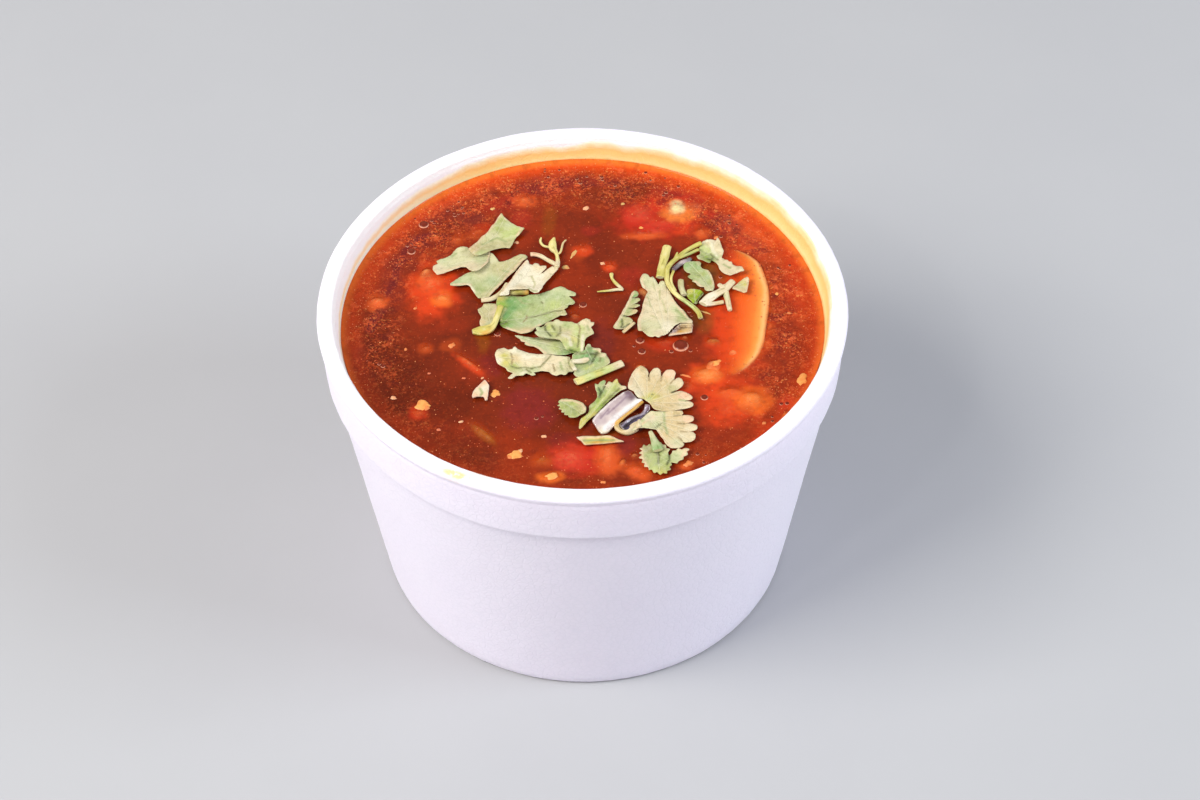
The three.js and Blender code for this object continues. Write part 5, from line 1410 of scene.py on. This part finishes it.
# Each stalk as it is seen on the soup: its slot, its arms in millimetres, and tones at places on
# it in tenths. An arm is its width and its route, and a third number at a corner is how wide it
# is there, as a part of that width.
STALKS = {
    "coriander_cream_stem": ("stalk", [
        (1.2, [(-22.6, 7), (-20.2, 7.5), (-18, 9.6), (-16.8, 12.2)]),
        (1.5, [(-16.2, 9.3), (-14.2, 9.4), (-12, 9.5)])],
        # The darkest olive on the second arm is painted shade from the raised leaf beside it
        dict(cream=(-220, 70, -175, 108), butter=(-160, 98), celery=(-140, 99), gold=(-122, 94),
            shadow_olive=(-140, 89))),
    "coriander_yellow_stem": ("stalk", [
        (1.4, [(-18.2, 5), (-18.8, 2.5), (-19.7, -0.8, 1.1), (-21, -2.2, 1.9), (-22.6, -2.6, 2),
            (-24.4, -2.9, 0.9)])],
        dict(butter=(-194, 0), celery=(-184, 46, -220, -20, -236, -32), gold=(-216, -34))),
    "coriander_forked_sprig": ("stalk", [
        (1.2, [(-5.7, 17.5), (-5.5, 19, 0.9), (-5.6, 20.6, 0.7), (-5.9, 22.2, 0.8),
            (-6.6, 23.6, 1.5), (-6.7, 25.2, 1.5), (-6.3, 27.2, 0.4)]),
        (0.6, [(-7.1, 24), (-8.6, 24.5), (-9.3, 25.4), (-9.5, 26.3), (-9.3, 27.3, 0.7)]),
        (0.5, [(-5.6, 21.6), (-4.9, 22.4), (-4.6, 23.8), (-4.3, 25.4), (-3.6, 26.5, 0.8)]),
        (1.1, [(-5.8, 18.2), (-7.9, 19.9), (-9.3, 21.1), (-10.7, 21.7), (-11.7, 21.7)])],
        dict(cream=(-56, 186, -88, 207), peach=(-112, 217), straw=(-42, 254), butter=(-66, 252,
            -64, 266, -57, 210, -94, 260))),
    "stalk_centre": ("stalk", [
        (2, [(-1.7, -18.6), (3.4, -15.9), (8.6, -13)])],
        dict(cream=(82, -132), lime=(16, -169, 48, -152), butter=(-12, -183), celery=(38, -166))),
    "stalk_short_thin": ("stalk", [
        (0.8, [(8.9, -3.5), (11.4, -0.6)])],
        dict(straw=(100, -20))),
    "stalk_straight": ("stalk", [
        (2, [(19.45, 23.9), (18.4, 18.8), (17.5, 13.7)])],
        dict(butter=(193, 234, 176, 189, 193, 187), celery=(184, 188, 177, 144))),
    "stalk_inner": ("stalk", [
        (1.4, [(22.2, 12.8), (22.2, 10.6), (22.7, 8)])],
        dict(pale=(226, 88), khaki=(222, 122))),
    "stalk_looped": ("stalk", [
        (1.1, [(27.2, 24.9), (25.1, 23.5), (23.1, 21.8), (21.5, 19.9), (20.3, 18.5), (19.3, 16.6),
            (19.1, 14.7), (19.05, 12.8), (19.5, 10.9), (20.3, 9.2), (21.5, 7.5), (23.1, 5.9),
            (24.8, 4), (25.8, 2.3), (26.2, 0.6)]),
        (0.6, [(20.8, 9.2), (20.1, 11.6), (20, 13.6), (20.6, 15.8)]),
        (0.7, [(20.8, 19), (21.3, 20.4), (21.7, 21.9, 0.5)]),
        (0.8, [(26.6, 22.8), (24.4, 21.4), (21.9, 20)])],
        dict(lime=(234, 56), butter=(192, 126, 206, 90), celery=(262, 242, 240, 226, 218, 202,
            194, 160, 260, 14), olive=(246, 214))),
    "stalk_pale_forked": ("stalk", [
        (1.9, [(26.9, 5, 1.3), (28.5, 7.1, 1.2), (30.6, 8.7), (32.1, 10), (33.9, 12.3, 0.8)]),
        (1.1, [(27.3, 4.9), (29.4, 5.2), (31.5, 5.7)]),
        (1.3, [(31.9, 11), (32.3, 7.4), (32.8, 3, 0.8)]),
        (1.2, [(30.6, 11.3, 0.8), (31.2, 10.6), (31.8, 10)])],
        dict(milk=(272, 50, 288, 76), cream=(310, 92, 334, 118, 324, 46, 309, 110),
            straw=(306, 55), pale=(322, 76))),
    "stalk_small_loop": ("stalk", [
        (1.2, [(12, -30.8, 1.9), (10.7, -32.3, 1.9), (9.3, -33.4, 1.5), (8, -33.2), (7.1, -32.2),
            (7.1, -30.8, 0.8), (8.5, -29.1, 0.6), (10.6, -26.9, 0.6), (12.7, -24.6, 0.6)])],
        dict(cream=(116, -310, 98, -328), straw=(74, -324), gold=(74, -304, 100, -276,
            124, -250))),
    "stalk_small_leaf": ("leaf_green", [
        (1.8, [(14.1, -33.4, 0.5), (14.7, -35.4, 0.75), (15.2, -37.2, 1.2), (15.6, -38.8, 1.4)])],
        dict(pale=(142, -338), silver=(150, -364), mint=(155, -382))),
    "shred_grey_ribbon": ("clear_shred", [
        (1.3, [(20.3, 16.1), (21.2, 17.05), (22.7, 18.5), (24.1, 19.2), (24.7, 19.9, 0.7)])],
        dict(lilac=(229, 185), plum=(206, 164), slate=(218, 174, 244, 196))),
    "coriander_white_curl": ("scrap", [
        (1.3, [(-2.4, -12.4, 0.8), (-0.7, -12.3), (0.4, -12), (1.3, -11.6, 0.6)]),
        (0.9, [(-2.6, -12.4), (-2.3, -13.6), (-1.7, -15.1)])],
        dict(milk=(-16, -122, -17, -149), cream=(9, -117), khaki=(-24, -134))),
    "twig_forked": ("scrap", [
        (0.8, [(3.3, 9.4, 0.4), (6, 9.7, 0.8), (7.6, 10), (9.2, 10)]),
        (0.8, [(9, 10), (8.4, 10.9), (7.4, 12.3), (6.7, 13.7, 0.8), (6.6, 15.2, 1.2)])],
        dict(cream=(82, 102), butter=(66, 149), celery=(38, 94, 72, 126))),
}


def stalk_tube(route, widths, seed):
    """A ribbed stem along a route: its points, faces, and the place along and round it."""
    ahead = np.gradient(route, axis=0)
    ahead /= np.linalg.norm(ahead, axis=1)[:, None]
    side = np.cross(ahead, [0, 0, 1])
    side /= np.linalg.norm(side, axis=1)[:, None]
    over = np.cross(side, ahead)
    turn = 2 * np.pi * np.arange(STALK_SIDES) / STALK_SIDES
    gone = np.concatenate([[0], np.cumsum(np.linalg.norm(np.diff(route, axis=0), axis=1))])
    points, grain = [], []
    for k, spot in enumerate(route):
        size = widths[k] / 2 * (1 + 0.10 * noise.noise(Vector((gone[k] / 2.2, seed, 0))))
        rib = 1 + 0.045 * np.cos(STALK_RIBS * turn + seed)
        rib += 0.02 * np.cos(11 * turn + gone[k] * 0.3)
        if k in (0, len(route) - 1):
            rib = rib * 0.93
        ring = spot + np.outer(np.cos(turn) * rib * size, side[k])
        ring += np.outer(np.sin(turn) * rib * min(size, STALK_THICKEST) * STALK_FLATNESS, over[k])
        points.append(ring)
        from_end = min(k, len(route) - 1 - k) * STALK_STEP
        grain += [(gone[k], j / STALK_SIDES, from_end) for j in range(STALK_SIDES)]
    faces = []
    for k in range(len(route) - 1):
        for j in range(STALK_SIDES):
            a, b = k * STALK_SIDES + j, k * STALK_SIDES + (j + 1) % STALK_SIDES
            faces.append((a, b, b + STALK_SIDES, a + STALK_SIDES))
    points = np.vstack(points)
    for ring, turned_over, inwards in ((0, True, 1), (len(route) - 1, False, -1)):
        start = ring * STALK_SIDES
        hollow = route[ring] + inwards * CUT_HOLLOW * ahead[ring]
        lip = route[ring] + CUT_LIP * (points[start:start + STALK_SIDES] - route[ring])
        first = len(points)
        points = np.vstack([points, lip, hollow])
        grain += [(gone[ring], 0.5, -0.3)] * (STALK_SIDES + 1)
        for j in range(STALK_SIDES):
            n = (j + 1) % STALK_SIDES
            band = (start + j, first + j, first + n, start + n)
            cap = (first + j, first + STALK_SIDES, first + n)
            faces += [band[::-1], cap[::-1]] if not turned_over else [band, cap]
    return points, faces, grain


def stem_finish(name, roughness, gloss):
    """A wet stem: long fine ribs and streaks, and a paler pith at the cut ends."""
    stem = Finish(name, roughness, gloss)
    grain = stem.marked("grain", "Vector")
    long_way = stem.add("VectorMath", {0: grain, 1: (0.00035, 0.006, 0.0)}, operation="MULTIPLY")
    streaks = stem.noise(1.0, 3, 0.6, where=long_way)
    tone = stem.marked("tone", "Color")
    deep = stem.mix(1.0, tone, paint(214, 212, 166), "MULTIPLY")
    tone = stem.mix(stem.fade(streaks, 0.48, 0.70, 0.0, 0.8), tone, deep)
    pale = stem.mix(0.5, tone, paint(250, 240, 206))
    tone = stem.mix(stem.fade(streaks, 0.30, 0.46, 0.7, 0.0), tone, pale)
    pith = stem.add("SeparateXYZ", {0: grain}, 2)
    stem.colour(stem.mix(stem.fade(pith, -0.2, 0.05, 0.8, 0.0), tone, paint(242, 230, 184)))
    stem.set("Normal", stem.bump(streaks, 0.10, 0.6))
    return stem.material


stem_finishes = {
    "stalk": stem_finish("ribbed_stalk", 0.38, 0.4),
    "leaf_green": stem_finish("leaf_stalk", 0.42, 0.35),
    "clear_shred": stem_finish("glassy_ribbon", 0.15, 0.6),
    "scrap": stem_finish("soft_scrap", 0.5, 0.35),
}
order_laid = [row["node"] for row in frame["record"]["subparts"]]
for node, (slot, arms, tones) in STALKS.items():
    node_skin = skin_of(frame["nodes"][node])
    under_it = [skin for other, skin in laid.items()
                if order_laid.index(other) < order_laid.index(node)]
    parts, grain = [], []
    for width, corners in arms:
        shape = [(c[0], c[1], c[2] if len(c) > 2 else 1.0) for c in corners]
        length = sum(math.dist(a[:2], b[:2]) for a, b in zip(shape, shape[1:]))
        route = smooth_route(shape, max(8, round(length / STALK_STEP)))
        widths, x, y_seen = width * route[:, 2], route[:, 0].copy(), route[:, 1].copy()
        half = np.minimum(widths / 2, STALK_THICKEST) * STALK_FLATNESS
        z = np.full(len(route), SOUP_LEVEL + 0.8)
        for _ in range(2):
            tops = np.pad(heights_on(node_skin, x, y_seen - nearer_by(z)), 3, mode="edge")
            z = np.convolve(tops, np.ones(7) / 7, "valid") - half
        for below in under_it:
            for k in range(len(route)):
                hit = below.ray_cast(Vector((x[k], y_seen[k] - nearer_by(z[k]), 90)), down)[0]
                if hit is not None:
                    z[k] = max(z[k], hit.z + 0.8 * half[k])
        z = np.convolve(np.pad(z, 2, mode="edge"), np.ones(5) / 5, "valid")
        route = np.column_stack([x, y_seen - nearer_by(z), z])
        some_points, some_faces, some_grain = stalk_tube(route, widths, len(parts) + len(node))
        parts.append((some_points, some_faces))
        grain += some_grain
    points, faces = gathered(parts)
    piece = mesh_piece(node.replace("coriander_", "stalk_") + "_stem", points, faces)
    mark(piece, "grain", grain)
    seen = np.column_stack([points[:, 0], points[:, 1] + nearer_by(points[:, 2])])
    mark(piece, "tone", coloured(seen, tones))
    piece.data.materials.append(stem_finishes[slot])
    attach(piece, "root")
    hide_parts(node)

# Shreds and scraps
# A glassy slice and slab of cooked shred, a dark glossy curl of tree fungus, a strip cut from a
# flat stalk and a scrap of egg white float among the leaves.
# Painted shine, glints, gleams and glow, and painted shade, on wet shreds: how far each stands up,
# its width and its colour
STROKES_AND_PAINTED_LIGHT.update({
    "shine": (0.12, 0.5, (250, 240, 232)), "glint": (0.3, 1.5, (255, 250, 244)),
    "shade": (-0.11, 0.5, (160, 136, 146)), "gleam": (0.2, 0.5, (196, 182, 196)),
    "glow": (0.14, 0.4, (96, 82, 120)),
})
# Each shred is given as a leaf is, with its thickness and how ragged its edge is in millimetres.
SHREDS = {
    "shred_clear_slice": dict(
        slot="clear_shred", thickness=0.4, ragged=0.03,
        edge=(200, -29, 208, -18, 217, -9, 241, -9, 244, -13, 241, -37, 227, -40, 203, -44,
            189, -47, 192, -39),
        tones=dict(straw=(238, -16, 222, -24), gold=(214, -36), lilac=(204, -30)),
        strokes=[("cut", 208, -15, 218, -10, 230, -9), ("hem", 192, -45, 204, -42, 227, -39,
            240, -36), ("hem", 242, -13, 241, -35)],
        lifts=()),
    "shred_clear_slab": dict(
        slot="clear_shred", thickness=0.9, ragged=0.04,
        edge=(96, -212, 104, -217, 108, -225, 116, -237, 126, -238, 127, -245, 121, -256,
            106, -271, 87, -287, 73, -304, 59, -321, 50, -333, 38, -336, 31, -328, 24, -311,
            18, -299, 24, -287, 36, -270, 54, -248, 73, -229, 85, -218),
        # The white along the slab's ridge is a painted glint
        tones=dict(milk=(42, -330), peach=(118, -256, 88, -284, 64, -312), straw=(52, -329),
            lilac=(82, -230, 56, -258, 34, -284, 26, -304, 86, -250, 64, -276, 44, -304),
            glint_white=(118, -243, 96, -266, 70, -292, 50, -318), plum=(97, -219, 104, -232)),
        strokes=[("shine", 86, -219, 55, -250, 25, -289, 20, -300), ("glint", 118, -243, 94, -266,
            68, -293, 46, -324), ("shade", 96, -226, 74, -254, 50, -282), ("shade", 54, -266,
            36, -294)],
        lifts=(122, -242, 14, 3)),
    "shred_dark_curl": dict(
        slot="dark_shred", thickness=0.6, ragged=0.06,
        edge=(132, -253, 142, -256, 142, -268, 133, -285, 121, -298, 109, -312, 99, -326, 92, -336,
            86, -331, 81, -321, 75, -312, 87, -303, 97, -293, 111, -286, 122, -281, 129, -270),
        tones=dict(plum=(136, -262), ink=(128, -286, 106, -304, 88, -318)),
        # The lilac lines on the dark curl are painted gleams
        strokes=[("gleam", 135, -259, 129, -281, 106, -292, 94, -301, 82, -316),
            ("glow", 124, -290, 104, -310, 92, -326)],
        lifts=(138, -259, 14, 4, 84, -320, 12, 4)),
    "coriander_cut_strip": dict(
        slot="stalk", thickness=0.5, ragged=0.04,
        edge=(-16, -347, 1, -344, 25, -345, 54, -343, 63, -348, 73, -355, 86, -361, 70, -362,
            49, -365, 25, -367, 1, -369, -6, -357, -13, -351),
        tones=dict(straw=(-6, -350, 70, -357), celery=(16, -354, 46, -352), gold=(26, -363,
            60, -359)),
        strokes=[("hem", -12, -348, 24, -349, 52, -347, 66, -352), ("furrow", 0, -358, 34, -357,
            64, -358)],
        lifts=()),
    "scrap_white": dict(
        slot="scrap", thickness=0.6, ragged=0.12,
        edge=(-214, -175, -208, -183, -204, -193, -205, -207, -206, -221, -207, -234, -211, -237,
            -213, -230, -215, -225, -223, -223, -231, -224, -239, -229, -241, -224, -239, -213,
            -234, -201, -227, -193, -221, -184),
        tones=dict(milk=(-217, -202), cream=(-228, -212), peach=(-224, -194, -210, -226,
            -215, -182, -237, -224)),
        strokes=[("furrow", -224, -202, -218, -214, -222, -222)],
        lifts=(-216, -206, 20, 3)),
}


def shred_finish(name, roughness, gloss, blotch):
    """A wet shred, cloudy inside, with a smooth skin."""
    shred = Finish(name, roughness, gloss)
    clouds = shred.noise(1.6, 3, 0.55)
    tone = shred.marked("tone", "Color")
    cloudy = shred.mix(1.0, tone, blotch, "MULTIPLY")
    tone = shred.mix(shred.fade(clouds, 0.45, 0.72, 0.0, 0.5), tone, cloudy)
    rimmed = shred.fade(shred.marked("edge"), 0.0, 0.3, 0.35, 0.0)
    shred.colour(shred.mix(rimmed, tone, paint(240, 220, 204)))
    shred.set("Normal", shred.bump(clouds, 0.12, 0.5))
    return shred.material


shred_finishes = {
    "clear_shred": shred_finish("glassy_shred", 0.12, 0.55, paint(224, 208, 212)),
    "dark_shred": shred_finish("dark_fungus", 0.1, 0.7, paint(120, 96, 130)),
    "stalk": shred_finish("cut_strip", 0.35, 0.4, paint(214, 216, 160)),
    "scrap": shred_finish("egg_scrap", 0.45, 0.3, paint(244, 230, 210)),
}
for node, shred in SHREDS.items():
    name = node.replace("coriander_", "") + "_piece"
    piece, _ = blade(
        node, name, shred["edge"], shred["tones"], shred["strokes"], shred["lifts"],
        ragged=shred["ragged"], round_share=0.08, thickness=shred["thickness"], crinkle=0.05,
        step=0.3, smooths=2)
    piece.data.materials.append(shred_finishes[shred["slot"]])

# Flakes, specks and bubbles
# Crumbs of egg, pepper and chilli float on the broth, with clear bubbles among them. The finest
# lie in a froth by the wall, where they were left as the soup settled.
FLAKE_RISE = 0.34
BUBBLE_RISE = 0.22
# For each colour of crumb, the x, y, length, width and heading of its crumbs
FLAKES = {
    (254, 175, 92): [  # egg
        (-34.6, -24.7, 3.6, 2.6, 30), (-14.6, -39.4, 3.4, 2.2, 25), (-6.8, -45.6, 3, 1.7, 8),
        (47.6, -18.4, 3.4, 2.3, 75), (-19, -21.5, 2.2, 2.2, 60), (29.2, -13, 2.2, 1.5, 35),
        (13.6, 30.4, 1.2, 0.7, 10), (43.6, 8.2, 1, 0.7, 60)],
    (248, 190, 142): [  # egg white
        (-13.6, -38.6, 1.4, 1, 60), (1.1, 37.3, 1.7, 1.3, 20), (-15, 25.9, 1.3, 1, 0),
        (-8.5, -34.4, 1.2, 0.9, 10), (4.6, 18.7, 1.2, 1, 0), (-41, -22.6, 1.5, 1, 150),
        (-26.3, -29.9, 1, 0.7, 20), (-22, -17, 0.8, 0.6, 30)],
    (240, 142, 78): [  # chilli
        (-33.7, -25.6, 1.8, 1.3, 80), (-15.6, -40.2, 1.5, 1, -30), (-28.9, -6.9, 2, 1.5, 40),
        (22, -42.6, 2.4, 1.5, 35), (22.2, -16.9, 2.4, 0.7, -20), (-37.4, 4.8, 1, 0.7, 30),
        (-39, -8, 0.9, 0.6, 70), (30.8, 26.8, 1.1, 0.8, 40), (46, 2, 0.9, 0.7, 0),
        (38.6, -31.2, 1.2, 0.8, 30), (4, -47.6, 1.2, 0.8, 0)],
    (228, 184, 112): [  # seed
        (-3.8, 17.6, 1.7, 1.3, 0), (-1.9, 21.9, 3.2, 0.9, 58), (27.4, 2.5, 2.6, 0.5, -25),
        (9.6, 38.6, 1, 0.8, 0), (-20.6, 37.4, 1.2, 0.9, 30)],
    (226, 122, 84): [  # pepper
        (-31, -32.1, 1.1, 0.7, -20), (-26, -17, 0.9, 0.6, 0), (33.4, -38.6, 1, 0.7, -30),
        (-33.6, -15.4, 0.8, 0.6, 0)],
}
# The x, y and diameter of each large bubble
BUBBLES = [
    (21.5, -7.9, 3.6), (12.6, -6.1, 2.0), (12.9, -9.5, 1.8), (0.1, 5.3, 1.8), (26.1, -23.6, 1.7),
    (-18.9, -3.6, 1.5), (-36.4, 32.1, 2.4), (-38.9, 23.1, 1.9), (23.8, 2.8, 1.0), (24.3, 1.6, 0.8),
    (26.5, 0.4, 0.9), (31.2, 13.8, 0.9), (19.4, -9.6, 1.0), (23.6, -9.4, 0.9), (11.2, -7.8, 0.8),
]
# Places where small bubbles crowd: the x, y and reach of each, and how many bubbles it has
BUBBLE_RAFTS = [
    (-29.0, 38.0, 3.0, 8), (-36.5, 33.0, 2.6, 5), (-39.6, 24.0, 2.2, 4), (-7.0, 49.3, 2.4, 4),
    (-1.0, 48.6, 3.0, 4), (6.0, 46.4, 2.6, 3), (15.0, 47.3, 2.6, 3), (20.0, 44.4, 3.2, 4),
    (34.0, 32.3, 2.6, 4), (31.5, 29.0, 2.4, 3), (40.5, -30.0, 2.0, 3), (44.5, -27.0, 2.4, 4),
    (24.5, -41.0, 2.0, 3), (-10.0, -28.0, 1.6, 2), (-44.0, -12.0, 2.0, 2), (45.0, 18.0, 2.2, 3),
]
SPECK_COUNT = 4800
SPECK_LEAST, SPECK_SPREAD = 0.12, 0.34
SPECK_COLOURS = [(226, 112, 58), (236, 146, 82), (206, 86, 44), (216, 96, 54), (222, 104, 52)]
# Bubble colours from middle to edge: the broth's dark tone, then a bright ring near the rim that
# is a painted highlight
BUBBLE_TONES_AND_RING_SHINE = [
    (0.0, (132, 48, 28)), (0.70, (116, 40, 22)), (0.82, (150, 62, 38)), (0.91, (255, 182, 146)),
    (1.0, (160, 66, 40)),
]


def soup_height(x, y):
    """The broth's own surface, with its climb up the wall."""
    return SOUP_LEVEL + MENISCUS_RISE * math.exp(-max(wall - math.hypot(x, y), 0) / MENISCUS_WIDTH)


def dome(x, y, length, width, heading, rise, sides, rings, wobble=0.0, seed=0.0, power=1.0):
    """A low cap on the broth: its points and faces, and how far each point is from its middle."""
    turn = math.radians(heading)
    points, out = [(x, y, soup_height(x, y) + rise)], [0.0]
    for ring in range(1, rings + 1):
        share = ring / rings
        for k in range(sides):
            angle = 2 * math.pi * k / sides
            spot = Vector((1.6 * math.cos(angle), 1.6 * math.sin(angle), seed))
            uneven = 1 + wobble * noise.noise(spot)
            a = math.cos(angle) * length / 2 * share * uneven
            b = math.sin(angle) * width / 2 * share * uneven
            px = x + a * math.cos(turn) - b * math.sin(turn)
            py = y + a * math.sin(turn) + b * math.cos(turn)
            top = rise * (1 - share ** 2) ** power
            points.append((px, py, soup_height(px, py) + top - (0.06 if ring == rings else 0)))
            out.append(share)
    faces = [(0, 1 + k, 1 + (k + 1) % sides) for k in range(sides)]
    for ring in range(rings - 1):
        for k in range(sides):
            a, b = 1 + ring * sides + k, 1 + ring * sides + (k + 1) % sides
            faces.append((a, a + sides, b + sides, b))
    return np.array(points), faces, out


crumbs, tones = [], []
for colour, rows in FLAKES.items():
    for x, y, length, width, heading in rows:
        rise = FLAKE_RISE * min(1, width / 1.5)
        nearer = nearer_by(SOUP_LEVEL + 0.5 * rise)
        points, faces, _ = dome(x, y - nearer, length, width, heading, rise, 22, 6,
                                wobble=0.55, seed=3.1 * len(crumbs), power=0.6)
        points[:, 2] += 0.10 * rise * lumps(points, 0.6, len(crumbs))
        crumbs.append((points, faces))
        tones.append(np.repeat([paint(*colour)], len(points), axis=0))
chance = random.Random(11)
placed = 0
while placed < SPECK_COUNT:
    reach, angle = wall * math.sqrt(chance.random()), chance.uniform(-180, 180)
    crowd = np.interp(angle, *zip(*FROTH_AROUND)) * min(1, max(0, (reach - 36) / 12)) ** 1.5
    x, y = reach * math.cos(math.radians(angle)), reach * math.sin(math.radians(angle))
    clump = 0.5 + noise.noise(Vector((x / 4.0, y / 4.0, 3)))
    clump += 0.6 * noise.noise(Vector((x / 1.5, y / 1.5, 9)))
    if chance.random() > 0.08 + 0.92 * crowd * min(1, max(0, clump)):
        continue
    placed += 1
    size = SPECK_LEAST + SPECK_SPREAD * chance.random() ** 3
    points, faces, _ = dome(x, y, size, size * chance.uniform(0.6, 1), chance.uniform(0, 180),
                            0.22 * size, 7, 2)
    crumbs.append((points, faces))
    colour = chance.choice(SPECK_COLOURS)
    tones.append(np.repeat([paint(*colour)], len(points), axis=0))
points, faces = gathered(crumbs)
flakes = mesh_piece("floating_crumbs", points, faces)
mark(flakes, "tone", np.vstack(tones))
crumb = Finish("floating_crumb", 0.4, 0.3)
grain = crumb.noise(0.8, 3, 0.6)
crumb.colour(crumb.mix(crumb.fade(grain, 0.4, 0.7, 0.0, 0.45), crumb.marked("tone", "Color"),
                       paint(238, 120, 52)))
crumb.set("Normal", crumb.bump(grain, 0.12, 0.6))
flakes.data.materials.append(crumb.material)
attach(flakes, "root")
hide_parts("soup")

bubbles, rims = [], []
caps = list(BUBBLES)
for x, y, reach, count in BUBBLE_RAFTS:
    for _ in range(count):
        away, angle = reach * math.sqrt(chance.random()), chance.uniform(0, 2 * math.pi)
        spot = (x + away * math.cos(angle), y + away * math.sin(angle))
        caps.append((*spot, chance.uniform(0.4, 1.0)))
for x, y, size in caps:
    points, faces, out = dome(x, y, size, size, 0, BUBBLE_RISE * size, 24, 6, power=0.5)
    bubbles.append((points, faces))
    rims += out
points, faces = gathered(bubbles)
froth_bubbles = mesh_piece("soup_bubbles", points, faces)
mark(froth_bubbles, "out", rims)
skin = Finish("bubble_skin_painted_ring", 0.05, 0.16)
# The bright ring near the rim is a painted highlight
skin.colour(skin.ramp(skin.marked("out"), BUBBLE_TONES_AND_RING_SHINE))
skin.set("Normal", skin.bump(skin.noise(1.0, 2), 0.02, 0.3))
froth_bubbles.data.materials.append(skin.material)
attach(froth_bubbles, "root")
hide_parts("soup")
